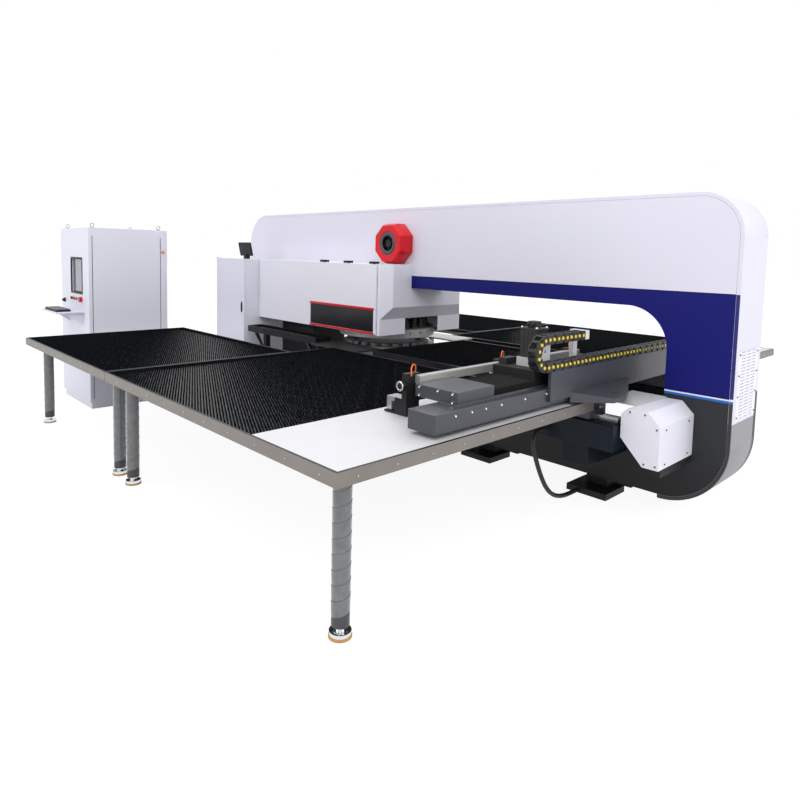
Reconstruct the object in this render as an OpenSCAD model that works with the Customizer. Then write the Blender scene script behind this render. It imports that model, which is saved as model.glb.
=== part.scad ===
// Servo turret punch press: closed frame, two turrets, moving clamp beam, brush tables and control cabinet.
// The punch stands at X = 0; X runs along the clamp beam, Y along the bridge, Z up from the floor.

/* [Table] */
// Height of the table surface over the floor
table_z = 900; // [820:1:980]
// Half length of the tables along the clamp beam
table_half = 3117; // [2900:1:3500]
// Inner edge of the side tables, measured from the bridge centre
table_inner = 900; // [880:1:960]
// Distance from the punch to the near edge of the tables
table_near = 2642; // [2600:1:2800]
// Seam between the near and far table sections, past the punch
table_seam = 260; // [200:1:320]
// Far edge of the far tables, past the punch
table_far = 2624; // [2400:1:2700]
// Inner edge of the far tables, measured from the bridge centre
far_inner = 1400; // [1390:1:1500]
// Height of the table edge profile
edge_h = 72; // [50:1:90]
// Thickness of the table edge profile
edge_t = 18; // [12:1:40]
// Width of the plain sheet beside the clamp beam
plain_w = 745; // [600:1:900]
// Pitch of the bristle rows
row_pitch = 60; // [40:1:120]
// Diameter of a table leg
leg_d = 92; // [70:1:110]
// Distance from the table edge to the leg axis
leg_inset = 176; // [120:1:220]

/* [Frame] */
// Height of the bridge over the floor
frame_top = 2342; // [2250:1:2500]
// Height of the underside of the frame over the floor
frame_low = 104; // [80:1:140]
// Thickness of the welded frame
frame_t = 430; // [380:1:520]
// Thickness of the cladding on each side
skin_t = 34; // [20:1:45]
// Distance from the punch to the near end of the frame
near_end = 3310; // [3250:1:3500]
// Distance from the punch to the far end of the frame
far_end = 2990; // [2950:1:3100]
// Width of the near pillar
pillar_w = 470; // [420:1:560]
// Far wall of the throat, past the punch
throat_far = 1500; // [1400:1:1600]
// Underside of the bridge
throat_top = 1517; // [1500:1:1560]
// Top of the lower frame beam
throat_low = 520; // [440:1:560]
// Height of the border between the white and the blue cladding
blue_z = 1642; // [1620:1:1700]
// Height of the border between the blue and the grey cladding
grey_z = 925; // [860:1:1000]

/* [Turret] */
// Radius of the turret discs
turret_r = 530; // [500:1:560]
// Radius of the circle of tool stations
station_r = 430; // [400:1:440]
// Number of tool stations
stations = 24; // [12:1:28]
// Thickness of the upper disc
disc_t = 100; // [80:1:120]
// Daylight between the pass line and the upper disc
daylight = 60; // [40:1:70]
// Stroke of the ram
ram_stroke = 37; // [25:1:40]

/* [Guard] */
// Half width of the guard across the bridge
guard_half = 610; // [580:1:680]
// Distance from the punch to the near wall of the guard
guard_near = 200; // [190:1:300]
// Far end of the guard, past the punch
guard_far = 2165; // [2100:1:2165]
// Top of the guard
guard_top = 1760; // [1740:1:1800]
// Lower edge of the guard
guard_low = 1035; // [1025:1:1060]
// Sheet thickness of guards and cabinets
sheet_t = 4; // [3:0.5:6]

/* [Clamp beam] */
// Half length of the clamp beam
beam_half = 2440; // [2300:1:2600]
// Distance from the punch to the near face of the beam
beam_near = 2590; // [2560:1:2630]
// Width of the lower beam box
beam_w = 200; // [160:1:240]
// Underside of the beam over the pass line
beam_gap = 10; // [6:1:20]
// Height of the lower beam box
beam_h = 110; // [90:1:130]
// Travel of the carriage along the beam
x_travel = 2500; // [1500:1:2500]
// Travel of the beam towards the turret
y_travel = 1500; // [1000:1:1550]
// Length of the clamp bar
bar_len = 1890; // [1500:1:1950]

/* [Control cabinet] */
// Width of the control cabinet along X
ctl_w = 880; // [700:1:1000]
// Depth of the control cabinet along Y
ctl_d = 1023; // [800:1:1100]
// Height of the control cabinet
ctl_h = 2080; // [1900:1:2150]
// Distance from the far table edge to the control cabinet
ctl_gap = 136; // [80:1:220]

/* [Hidden] */
$fn = 48;
clear = 0.3;
run_fit = 0.05;
pass_z = table_z + 14;
ctl_x = -2446;
ctl_y = table_far + ctl_gap;
mid_y = (ctl_y + ctl_d - near_end) / 2;
half_t = frame_t / 2;
face_x = half_t + skin_t;
cover_t = 30;
turret_y = station_r;
upper_z = pass_z + daylight;
beam_z = pass_z + beam_gap;
beam_top = beam_z + beam_h;

// Shared shapes

module placed() translate([0, -mid_y, 0]) children();

// A box between two corners
module box(a, b) translate(a) cube(b - a);

// A flat outline drawn in Y and Z, run from one X to another
module yz(x0, x1) translate([x0, 0, 0]) rotate([90, 0, 90]) linear_extrude(x1 - x0) children();

// A flat outline drawn in X and Z, run from one Y to another
module xz(y0, y1) translate([0, y1, 0]) rotate([90, 0, 0]) linear_extrude(y1 - y0) children();

// The corner that rounding takes away, with the corner at the origin and the shape towards +X +Y
module spandrel(r) difference() {
  translate([-1, -1]) square(r + 1);
  translate([r, r]) circle(r);
}

// A rectangle whose corners have their own radii: low left, low right, high right, high left
module plate(a, b, r) difference() {
  translate(a) square(b - a);
  translate(a) spandrel(r[0]);
  translate([b[0], a[1]]) mirror([1, 0]) spandrel(r[1]);
  translate(b) rotate(180) spandrel(r[2]);
  translate([a[0], b[1]]) mirror([0, 1]) spandrel(r[3]);
}

// An upright cylinder between two heights
module post(x, y, z0, z1, d) translate([x, y, z0]) cylinder(d = d, h = z1 - z0);

// A box shell of sheet metal that is open on one side
module shell(a, b, open_lo, open_hi, t = sheet_t) difference() {
  box(a, b);
  box([for (i = [0:2]) a[i] + (open_lo[i] ? -1 : t)], [for (i = [0:2]) b[i] - (open_hi[i] ? -1 : t)]);
}

module both_sides() for (s = [0, 1]) mirror([s, 0, 0]) children();

// Frame

corner_top = 300;
corner_far = 380;
corner_low = 480;
corner_back = 160;
throat_r = 310;

module frame_outline(inset) {
  plate([-near_end + inset, frame_low + inset], [far_end - inset, frame_top - inset],
    [corner_low - inset, corner_back - inset, corner_far - inset, corner_top - inset]);
}

module throat_outline(grow) {
  plate([-near_end + pillar_w - grow, throat_low - grow], [throat_far + grow, throat_top + grow],
    [120, 120, 120, throat_r + grow]);
}

shaft_d = 220;
ram_d = 120;
housing_d = 260;

module o_frame() color("dimgray") placed() yz(-half_t, half_t) difference() {
  frame_outline(cover_t);
  throat_outline(0);
}

// Cladding panels on both broad faces, cut from the frame outline between two heights
module cladding(z0, z1) both_sides() yz(-face_x, -half_t) intersection() {
  difference() {
    frame_outline(cover_t);
    throat_outline(0);
  }
  translate([-near_end, z0]) square([near_end + far_end, z1 - z0]);
}

seam = 3;
module upper_cladding() color("white") placed() cladding(blue_z + seam, frame_top);
module blue_cladding() color("midnightblue") placed() cladding(grey_z + seam, blue_z);
module lower_cladding() color("dimgray") placed() cladding(frame_low, grey_z);

// The bent cover that closes the rim of the frame
module edge_cover() color("white") placed() difference() {
  yz(-face_x, face_x) difference() {
    frame_outline(0);
    frame_outline(cover_t);
  }
  vent_recess();
  box([-face_x - 1, -near_end + corner_low, frame_low - 1],
    [face_x + 1, far_end - corner_back, frame_low + cover_t + 1]);
}

vent_w = 400;
vent_h = 485;
vent_z = 770;
vent_t = 8;
module vent_recess()
  box([-vent_w / 2, -near_end - 1, vent_z], [vent_w / 2, -near_end + vent_t, vent_z + vent_h]);

slot_rows = 22;
slot_cols = 3;
slot_w = 84;
slot_h = 7;
module vent_panel() color("white") placed() difference() {
  box([-vent_w / 2, -near_end, vent_z], [vent_w / 2, -near_end + vent_t, vent_z + vent_h]);
  for (c = [0:slot_cols - 1], r = [0:slot_rows - 1]) let (
    x = (c - (slot_cols - 1) / 2) * slot_w * 1.25,
    z = vent_z + vent_h * (r + 0.5) / slot_rows)
    box([x - slot_w / 2, -near_end - 1, z - slot_h / 2],
      [x + slot_w / 2, -near_end + vent_t + 1, z + slot_h / 2]);
}

anchor_d = 26;
anchor_pitch = 160;
foot_plate = 50;
near_foot_in = 510;
near_mid_foot = 1200;
far_mid_foot = 500;
far_foot_in = 420;
foot_ys = [-near_end + corner_low + near_foot_in, -near_mid_foot, far_mid_foot, far_end - far_foot_in];
module frame_feet() color("black") placed() for (y = foot_ys) both_sides() difference() {
  union() {
    box([60, y - 170, 0], [half_t + 150, y + 170, foot_plate]);
    box([100, y - 90, foot_plate - 1], [half_t - 20, y + 90, frame_low + cover_t]);
  }
  for (dy = [-1, 1]) post(half_t + 90, y + dy * anchor_pitch / 2, -1, foot_plate + 1, anchor_d);
}

// Ram drive

servo_y = 0;
servo_w = 410;
servo_z = guard_top + servo_w / 2 + 5;
servo_face = 370;
servo_d = 170;
fan_d = 236;

// The octagonal cover stands on the bridge face and narrows towards its front
module servo_cover() color("crimson") placed() difference() {
  translate([-face_x, servo_y, servo_z]) rotate([0, -90, 0]) rotate(22.5) union() {
    cylinder(d = servo_w / cos(22.5), h = servo_d * 0.6, $fn = 8);
    translate([0, 0, servo_d * 0.6])
      cylinder(d1 = servo_w / cos(22.5), d2 = servo_face / cos(22.5), h = servo_d * 0.4, $fn = 8);
  }
  translate([-face_x - servo_d - 1, servo_y, servo_z]) rotate([0, 90, 0]) cylinder(d = fan_d, h = 61);
}

module servo_fan() color("slategray") placed()
  translate([-face_x - servo_d + 60, servo_y, servo_z]) rotate([0, -90, 0]) {
  difference() {
    cylinder(d = fan_d - 2 * clear, h = 56);
    translate([0, 0, 12]) cylinder(d = fan_d * 0.72, h = 60);
  }
  cylinder(d = fan_d * 0.34, h = 44);
  for (k = [0:5]) rotate(k * 60) translate([0, -5, 0]) cube([fan_d * 0.4, 10, 34]);
}

tool_top = upper_z + disc_t + 150;
strike_gap = ram_stroke + 6;
ram_low = tool_top + strike_gap;
module ram_housing() color("gray") placed() difference() {
  union() {
    post(0, 0, ram_low + ram_stroke + 20, throat_top, housing_d);
    post(0, 0, throat_top - 40, throat_top, housing_d + 60);
  }
  post(0, 0, ram_low, throat_top + 1, ram_d + 2 * run_fit);
}
module ram() color("silver") placed() {
  post(0, 0, ram_low, throat_top - 1, ram_d);
}

// Turrets

module station_ring() for (k = [0:stations - 1]) translate([0, turret_y, 0])
  rotate(k * 360 / stations - 90) translate([station_r, 0, 0]) children();

tool_d = 62;
module turret_shafts() color("silver") placed() {
  post(0, turret_y, upper_z - 20, throat_top, shaft_d);
  post(0, turret_y, upper_z - 20, upper_z - 1, shaft_d + 60);
  post(0, turret_y, throat_low, lower_top - lower_cap - 1, shaft_d);
}

// Blind bores round the rim, where a pin locks the disc at a station
rim_bore = 24;
rim_bore_l = 22;
hub_h = 120;
hub_wall = 60;
module upper_turret() color("slategray") placed() difference() {
  union() {
    post(0, turret_y, upper_z, upper_z + disc_t, turret_r * 2);
    post(0, turret_y, upper_z + disc_t, upper_z + disc_t + hub_h, shaft_d + 2 * hub_wall);
  }
  post(0, turret_y, upper_z - 1, upper_z + disc_t + hub_h + 1, shaft_d + 2 * run_fit);
  station_ring() post(0, 0, upper_z - 1, upper_z + disc_t + 1, tool_d);
  station_ring() translate([turret_r - station_r - rim_bore_l, 0, upper_z + disc_t / 2]) rotate([0, 90, 0])
    cylinder(d = rim_bore, h = rim_bore_l + 1);
}

// One punch per station: guide, spring canister and head
module punch_tools() color("gold") placed() station_ring() {
  post(0, 0, upper_z + 4, tool_top - 40, tool_d);
  post(0, 0, tool_top - 40, tool_top, tool_d * 0.62);
  post(0, 0, upper_z + disc_t, upper_z + disc_t + 24, tool_d + 24);
}

die_h = 30;
die_d = tool_d + 30;
lower_t = 100;
lower_cap = 20;
lower_top = pass_z - 2 - die_h;
module lower_turret() color("slategray") placed() difference() {
  post(0, turret_y, lower_top - lower_t, lower_top, turret_r * 2);
  post(0, turret_y, lower_top - lower_t - 1, lower_top - lower_cap, shaft_d + 2 * run_fit);
  station_ring() post(0, 0, lower_top - lower_t - 1, lower_top + 1, tool_d * 0.6);
}

// One die per station on the lower disc
module die_set() color("silver") placed() station_ring() difference() {
  post(0, 0, lower_top, lower_top + die_h, die_d);
  post(0, 0, lower_top - 1, lower_top + die_h + 1, tool_d * 0.6);
}

// Guard

door_y0 = -80;
door_y1 = 1050;
door_z0 = guard_low + 10;
door_z1 = guard_top - 5;
open_z1 = guard_top - 30;
chamfer_x = 104;
chamfer_y = 80;
facet_z1 = 1325;
facet_z0 = 1200;

// Plan of one guard half, drawn t inside its outer faces: the near corner is cut off
module guard_plan(t) polygon([
  [-guard_half + t, guard_far - t], [-guard_half + t, -guard_near + chamfer_y + t * 0.4],
  [-guard_half + chamfer_x + t * 0.4, -guard_near + t], [-face_x - clear, -guard_near + t],
  [-face_x - clear, guard_far - t]]);

// Side view of the near wall, drawn t inside: an upright, a slope under it and a lower wall that stands back
module guard_profile(t) polygon([
  [-guard_near + t, guard_top - t], [-guard_near + t, facet_z1 + t * 0.5],
  [-guard_near + chamfer_y + t, facet_z0 + t * 0.5], [-guard_near + chamfer_y + t, guard_low - sign(t)],
  [guard_far - t, guard_low - sign(t)], [guard_far - t, guard_top - t]]);

module guard_solid(t) intersection() {
  translate([0, 0, guard_low - 2]) linear_extrude(guard_top - guard_low + 2) guard_plan(t);
  yz(-guard_half, -face_x + sign(t)) guard_profile(t);
}

module guard_half_shell() difference() {
  guard_solid(0);
  guard_solid(sheet_t);
  box([-face_x - clear - 1, -guard_near + sheet_t, guard_low - 1],
    [-face_x, guard_far - sheet_t, guard_top - sheet_t]);
}

// The near wall goes on under the bridge, down to the foot of the slope
module guard_bridge_wall() yz(-face_x - clear - 1, face_x + clear + 1) intersection() {
  difference() {
    guard_profile(0);
    guard_profile(sheet_t);
  }
  translate([-guard_near, facet_z0]) square([2 * chamfer_y, throat_top - facet_z0]);
}

module guard_shells() color("white") placed() {
  difference() {
    guard_half_shell();
    box([-guard_half - 1, door_y0, door_z0], [-guard_half + sheet_t + 1, door_y1, open_z1]);
  }
  mirror([1, 0, 0]) guard_half_shell();
  guard_bridge_wall();
  guard_hinges();
}

hinge_d = 20;
hinge_x = -guard_half - 8;
hinge_z = guard_top + 9;
hinge_l = 28;
pin_d = 8;
hinge_ys = [door_y0 + 70, (door_y0 + door_y1) / 2 - 80, door_y1 - 230];
module barrel(y, l, d) translate([hinge_x, y - l / 2, hinge_z]) rotate([-90, 0, 0]) cylinder(d = d, h = l);

// Fixed leaves on the guard's top, barrels and pins of the door hinges
module guard_hinges() for (y = hinge_ys) {
  barrel(y, 3 * hinge_l, pin_d);
  for (s = [-1, 1]) {
    barrel(y + s * hinge_l, hinge_l - 1, hinge_d);
    translate([0, y + s * hinge_l - (hinge_l - 1) / 2, 0])
      box([hinge_x, 0, guard_top], [-guard_half + 44, hinge_l - 1, guard_top + 6]);
  }
}

window_z0 = door_z0 + 20;
window_z1 = window_z0 + 225;
window_y0 = door_y0 + 34;
window_y1 = door_y1 - 16;
door_t = 20;
module guard_door() color("white") placed() difference() {
  union() {
    box([-guard_half - door_t, door_y0 + 3, door_z0 + 3], [-guard_half - clear, door_y1 - 3, door_z1]);
    for (y = hinge_ys) {
      barrel(y, hinge_l - 1, hinge_d);
      box([-guard_half - door_t, y - hinge_l / 2 + 0.5, door_z1 - 4],
        [hinge_x, y + hinge_l / 2 - 0.5, hinge_z]);
    }
  }
  for (y = hinge_ys) barrel(y, hinge_l + 2, pin_d + 2 * run_fit);
  box([-guard_half - door_t - 1, window_y0, window_z0], [-guard_half + 1, window_y1, window_z1]);
}
module guard_window() color("black") placed()
  box([-guard_half - door_t + 6, window_y0, window_z0], [-guard_half - 6, window_y1, window_z1]);

// A door that turns on an upright pivot: flat leaf from y0 to the round hinge edge, and the pins that hold it
pivot_in = 14;
pivot_pin = 10;
module leaf(x, y0, y, z0, z1, t) difference() {
  union() {
    box([x - t / 2, y0, z0], [x + t / 2, y, z1]);
    post(x, y, z0, z1, t);
  }
  post(x, y, z0 - 1, z0 + 24, pivot_pin + 2 * run_fit);
  post(x, y, z1 - 24, z1 + 1, pivot_pin + 2 * run_fit);
}
module pivot_lugs(x, x_in, y, z0, z1) {
  for (z = [z0 - 9, z1 + 1]) box([min(x - 11, x_in), y - 26, z], [max(x + 11, x_in), y + pivot_in, z + 8]);
  post(x, y, z0 - 2, z0 + 20, pivot_pin);
  post(x, y, z1 - 20, z1 + 2, pivot_pin);
}

// Side cabinet with its own door

side_x = -800;
side_back = -face_x - clear;
side_y0 = guard_far + 7;
side_w = 715;
side_y1 = side_y0 + side_w;
handle_drop = 660;
handle_z = guard_top - handle_drop;
handle_h = 120;
plinth = 100;
side_door_x = side_x - 11.5;
module side_cabinet() color("whitesmoke") placed() {
  shell([side_x, side_y0, plinth], [side_back, side_y1, guard_top], [1, 0, 0], [0, 0, 0]);
  box([side_x + 40, side_y0 + 30, 0], [side_back - 150, side_y1 - 30, plinth + 1]);
  pivot_lugs(side_door_x, side_x + 30, side_y1 - pivot_in, plinth + 1, guard_top - 1);
}
module side_door() color("whitesmoke") placed() difference() {
  leaf(side_door_x, side_y0, side_y1 - pivot_in, plinth + 1, guard_top - 1, 21);
  box([side_x - 23, side_y0 + 40, handle_z], [side_x - 10, side_y0 + 70, handle_z + handle_h]);
}
module guard_screen() color("black") placed() {
  translate([side_x + 90, side_y0 + 40, guard_top]) {
    box([0, 110, 0], [60, 170, 60]);
    translate([30, 0, 40]) rotate([0, -12, 0]) box([-12, 0, 0], [12, 280, 170]);
  }
}

// Tables

slab_t = 29;
pan_t = 6;
pan_z = table_z - slab_t - 1 - pan_t;

// A folded pan: edge profile all round, a sheet inside it that the brushes stand on, and ribs below
module table_pan(x0, y0, x1, y1) difference() {
  box([x0, y0, table_z - edge_h], [x1, y1, table_z]);
  for (z = [[table_z - slab_t - 1, table_z + 1], [table_z - edge_h - 1, pan_z]])
    box([x0 + edge_t, y0 + edge_t, z[0]], [x1 - edge_t, y1 - edge_t, z[1]]);
}

seam_gap = 8;
tray_x0 = -840;
tray_x1 = -guard_half - 30;
tray_y0 = 640;
tray_y1 = 2040;
tray_lift = 50;
tray_z0 = table_z - edge_h + tray_lift;
centre_post = 90;
centre_half = 690;
centre_y0 = -2180;
centre_y1 = -turret_r + turret_y - 20;

// Posts that carry the tray from the floor, and slanted braces out to its outer edge
tray_post = 60;
brace_t = 24;
module tray_truss() for (y = [tray_y0 + 160, tray_y1 - 160]) {
  box([tray_x1 - tray_post, y - tray_post / 2, 0], [tray_x1, y + tray_post / 2, tray_z0 + 1]);
  xz(y - brace_t / 2, y + brace_t / 2) polygon([
    [tray_x1 - tray_post, tray_z0 - 260], [tray_x1 - tray_post, tray_z0 - 220],
    [tray_x0 + 40, tray_z0 + 1], [tray_x0, tray_z0 + 1]]);
}

// Straps under the seam that tie the table sections together
strap_t = 10;
module seam_straps() for (x = [[-table_half + 200, -table_half + 400], [-far_inner - 300, -far_inner - 100]])
  box([x[0], table_seam - edge_t, table_z - edge_h - strap_t],
    [x[1], table_seam + seam_gap + edge_t, table_z - edge_h]);

module table_frames() color("lightgray") placed() {
  both_sides() {
    seam_straps();
    table_pan(-table_half, -table_near, -table_inner, table_seam);
    table_pan(-table_half, table_seam + seam_gap, -far_inner, table_far);
    translate([0, 0, tray_lift]) table_pan(tray_x0, tray_y0, tray_x1, tray_y1);
    tray_truss();
  }
  table_pan(-centre_half, centre_y0, centre_half, centre_y1);
  for (y = [centre_y0 + 200, (centre_y0 + centre_y1) / 2, centre_y1 - 200])
    post(0, y, throat_low, pan_z, centre_post);
}

module brush(x0, y0, x1, y1) {
  box([x0, y0, table_z - 30], [x1, y1, table_z - 30 + slab_t - 12]);
  n = floor((y1 - y0) / row_pitch);
  for (k = [0:n - 1]) let (y = y0 + (k + 0.5) * (y1 - y0) / n)
    box([x0 + 6, y - row_pitch * 0.3, table_z - 14 - 1], [x1 - 6, y + row_pitch * 0.3, table_z - 1]);
}
inset = edge_t + clear;
plain_y = -table_near + plain_w;
module side_brushes() color("black") placed() both_sides() {
  brush(-table_half + inset, plain_y, -table_inner - inset, table_seam - inset);
  brush(-table_half + inset, table_seam + seam_gap + inset, -far_inner - inset, table_far - inset);
}
module centre_brushes() color("black") placed() {
  translate([0, 0, tray_lift]) both_sides()
    brush(tray_x0 + inset, tray_y0 + inset, tray_x1 - inset, tray_y1 - inset);
  brush(-centre_half + inset, centre_y0 + inset, centre_half - inset, centre_y1 - inset);
}
bridge_sheet_x = -700;
bridge_sheet_t = 8;
turret_sheet_y = -90;
turret_sheet_t = 16;
module plain_plates() color("gainsboro") placed() {
  both_sides() box([-table_half + inset, -table_near + inset, table_z - 30],
    [-table_inner - inset, plain_y - clear, table_z - 1]);
  both_sides() box([-table_inner, turret_sheet_y, table_z - turret_sheet_t],
    [-turret_r - 25, tray_y0, table_z - 1]);
  box([bridge_sheet_x, cover_y1 - 70, cover_z1],
    [-face_x - clear, -beam_near - 10, cover_z1 + bridge_sheet_t]);
}

leg_foot_h = 60;
seam_leg = 94;
outer_x = -table_half + leg_inset;
near_leg = [outer_x, -table_near + leg_inset];
function leg_points() = [
  near_leg,
  for (x = [outer_x, -table_inner - leg_inset]) [x, table_seam - seam_leg],
  for (x = [outer_x, -far_inner - leg_inset], y = [table_seam + 2 * seam_leg, table_far - 142]) [x, y]
];
module table_legs() color("dimgray") placed() both_sides() for (p = leg_points())
  post(p[0], p[1], leg_foot_h, pan_z, leg_d);
module leg_feet() color("silver") placed() both_sides() for (p = leg_points()) {
  post(p[0], p[1], 14, 34, 112);
  post(p[0], p[1], 34, leg_foot_h, 44);
}
module foot_rings() color("peru") placed() both_sides() for (p = leg_points())
  post(p[0], p[1], 0, 14, 118);

// Y drive

cover_x0 = -800;
cover_y1 = -near_end + pillar_w + 50;
cover_y0 = cover_y1 - 270;
cover_z0 = 490;
cover_z1 = 865;
bed_in = 640;
bed_out = 880;
bed_z0 = 560;
bed_z1 = 740;
bed_y0 = cover_y1 + 10;
bed_over = 560;
bed_y1 = -beam_near + y_travel + bed_over;
near_bracket_in = 480;
far_bracket_in = 370;
rail_x = 760;
screw_x = -460;
screw_z = 625;
screw_d = 50;
screw_y0 = bed_y0 + 60;
screw_y1 = bed_y1 - 80;
bearing_l = 70;
arm_z0 = 400;
arm_z1 = throat_low - 5;
arm_w = 200;
bracket_w = 120;
module y_bed() color("steelblue") placed() difference() {
  union() {
    both_sides() box([bed_in, bed_y0, bed_z0], [bed_out, bed_y1, bed_z1]);
    both_sides() for (y = [bed_y0 + arm_w, bed_y1 - 2 * arm_w]) {
      box([face_x, y, arm_z0], [bed_out - 40, y + arm_w, arm_z1]);
      box([bed_in, y, arm_z1 - 1], [bed_out - 40, y + arm_w, bed_z0]);
    }
    both_sides() for (y = [bed_y0 + near_bracket_in, bed_y1 - far_bracket_in])
      box([bed_out, y, bed_z1 - 100], [table_inner + edge_t, y + bracket_w, table_z - edge_h]);
    for (y = [screw_y0, screw_y1 - bearing_l])
      box([-bed_in, y, bed_z0], [screw_x + 70, y + bearing_l, screw_z + 60]);
  }
  translate([screw_x, bed_y0, screw_z]) rotate([-90, 0, 0])
    cylinder(d = screw_d + 2 * run_fit, h = bed_y1 - bed_y0);
}
rail_h = 36;
module y_rails() color("silver") placed() both_sides()
  box([rail_x - 22, bed_y0 + 20, bed_z1], [rail_x + 22, bed_y1 - 20, bed_z1 + rail_h]);
module ball_screw() color("silver") placed() {
  translate([screw_x, cover_y1 - 50, screw_z]) rotate([-90, 0, 0])
    cylinder(d = screw_d, h = screw_y1 - cover_y1 + 60);
}

// Motor cover with cut corners on the near pillar
module y_motor_cover() color("white") placed() difference() {
  rotate([90, 0, 90]) translate([0, 0, cover_x0]) linear_extrude(-face_x - clear - cover_x0) polygon([
    [cover_y1, cover_z1 - 45], [cover_y1 - 45, cover_z1],
    [cover_y0 + 85, cover_z1], [cover_y0, cover_z1 - 85],
    [cover_y0, cover_z0], [cover_y1 - 160, cover_z0], [cover_y1, cover_z0 + 170]]);
  translate([screw_x, cover_y1 - 60, screw_z]) rotate([-90, 0, 0]) cylinder(d = screw_d + 40, h = 100);
}

// Sloped bracket on the frame's face, under the motor cover
bracket_x = cover_x0 + 60;
bracket_h = 60;
module motor_bracket() color("dimgray") placed() yz(bracket_x, -face_x) polygon([
  [cover_y0 + 10, cover_z0], [cover_y0 + 10, cover_z0 - bracket_h],
  [cover_y0 + 50, cover_z0 - bracket_h], [cover_y1 - 160, cover_z0]]);

// A swept tube along a list of points
function ring_dir(p, i) = let (a = p[max(i - 1, 0)], b = p[min(i + 1, len(p) - 1)], d = b - a) d / norm(d);
function ring_side(d) = let (s = cross(d, [0, 1, 0])) s / norm(s);
module tube(p, d, n = 8) {
  pts = [for (i = [0:len(p) - 1], k = [0:n - 1])
    let (t = ring_dir(p, i), s = ring_side(t), u = cross(t, s))
    p[i] + d / 2 * (cos(k * 360 / n) * s + sin(k * 360 / n) * u)];
  side = [for (i = [0:len(p) - 2], k = [0:n - 1], h = [0, 1])
    let (a = i * n + k, b = i * n + (k + 1) % n)
    h == 0 ? [a, b, b + n] : [a, b + n, a + n]];
  ends = [[for (k = [n - 1:-1:0]) k], [for (k = [0:n - 1]) (len(p) - 1) * n + k]];
  polyhedron(pts, concat(side, ends));
}

conduit_d = 34;
conduit_y = foot_ys[0] + 70;
conduit_route = [
  [-bed_out - clear, conduit_y, 620], [-930, conduit_y, 620], [-975, conduit_y, 606], [-1005, conduit_y, 570],
  [-1014, conduit_y, 520], [-1002, conduit_y, 465], [-975, conduit_y, 400], [-935, conduit_y, 320],
  [-885, conduit_y, 235], [-825, conduit_y, 155], [-750, conduit_y, 90], [-660, conduit_y, 48],
  [-560, conduit_y, 28], [-460, conduit_y, 24], [-410, conduit_y, 24],
  [-half_t - 150 - clear, conduit_y, 24]];
module conduit() color("black") placed() tube(conduit_route, conduit_d);

// Clamp beam

step_x = 240;
upper_x = beam_half - step_x;
upper_h = 76;
way_h = 12;
beam_far = -beam_near + beam_w;
upper_y0 = -beam_near + 58;
upper_w = 325;
upper_y1 = upper_y0 + upper_w;
end_box = 330;
way_end = upper_x - end_box;
way_z = beam_top + way_h;
module beam_box() color("dimgray") placed() {
  difference() {
    box([-beam_half, -beam_near, beam_z], [beam_half, beam_far, beam_top]);
    for (s = [-1, 1]) translate([s * beam_half, 0, beam_top]) rotate([0, s * 18, 0])
      box([-90, -beam_near - 1, 0], [90, beam_far + 1, 80]);
  }
  box([-upper_x, upper_y0, beam_top], [upper_x, upper_y1, way_z]);
  both_sides() box([way_end, upper_y0, beam_top], [upper_x, upper_y1, cover_top]);
}
tray_x = 1400;
tray_t = 5;
tray_h = 100;
tray_face = 24;
tray_z = beam_top + 10;
module chain_tray() color("dimgray") placed() {
  box([-tray_x, -beam_near - tray_face, beam_z + 30], [tray_x, -beam_near - clear, tray_z + tray_h]);
  box([-tray_x, -beam_near - tray_face, tray_z + tray_h - tray_t], [tray_x, upper_y0 - 2, tray_z + tray_h]);
}

cover_top = beam_top + upper_h;
fold = 18;
fold_low = 30;
fold_high = 44;

// Pleats between two places along the beam
module folds(x0, x1) {
  n = floor((x1 - x0) / fold / 2) * 2;
  pleats = [for (k = [0:n]) [x0 + (x1 - x0) * k / n, way_z + (k % 2 == 0 ? fold_low : fold_high)]];
  xz(upper_y0 + 4, upper_y1 - 4) polygon(concat([[x0, way_z + clear]], pleats, [[x1, way_z + clear]]));
}
module way_cover() color("black") placed() {
  folds(-way_end + clear, car_x0 - clear);
  folds(car_x1 + clear, way_end - clear);
}

slide_w = 200;
column_w = 110;
apron_d = 200;
apron_xs = [-1165, -950, -790, -690, -360];
apron_turn = 165;
apron_slot = [30, 9];
apron_z0 = beam_z - 6;
apron_high = 68;
apron_low = 30;
apron_y = -beam_near - tray_face - clear;
slide_z0 = bed_z1 + 8;
slide_z1 = bed_z1 + rail_h + 30;

// Apron over the near rail: wide at the beam and narrow at its outer edge, with a sloping top
module apron() intersection() {
  translate([0, 0, apron_z0]) linear_extrude(apron_high + 1) polygon([
    [apron_xs[0], apron_y], [apron_xs[1], apron_y - apron_d],
    [apron_xs[2], apron_y - apron_d], [apron_xs[3], apron_y - apron_turn], [apron_xs[4], apron_y]]);
  yz(apron_xs[0] - 1, apron_xs[4] + 1) polygon([
    [apron_y, apron_z0], [apron_y, apron_z0 + apron_high],
    [apron_y - apron_d, apron_z0 + apron_low], [apron_y - apron_d, apron_z0]]);
}

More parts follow.
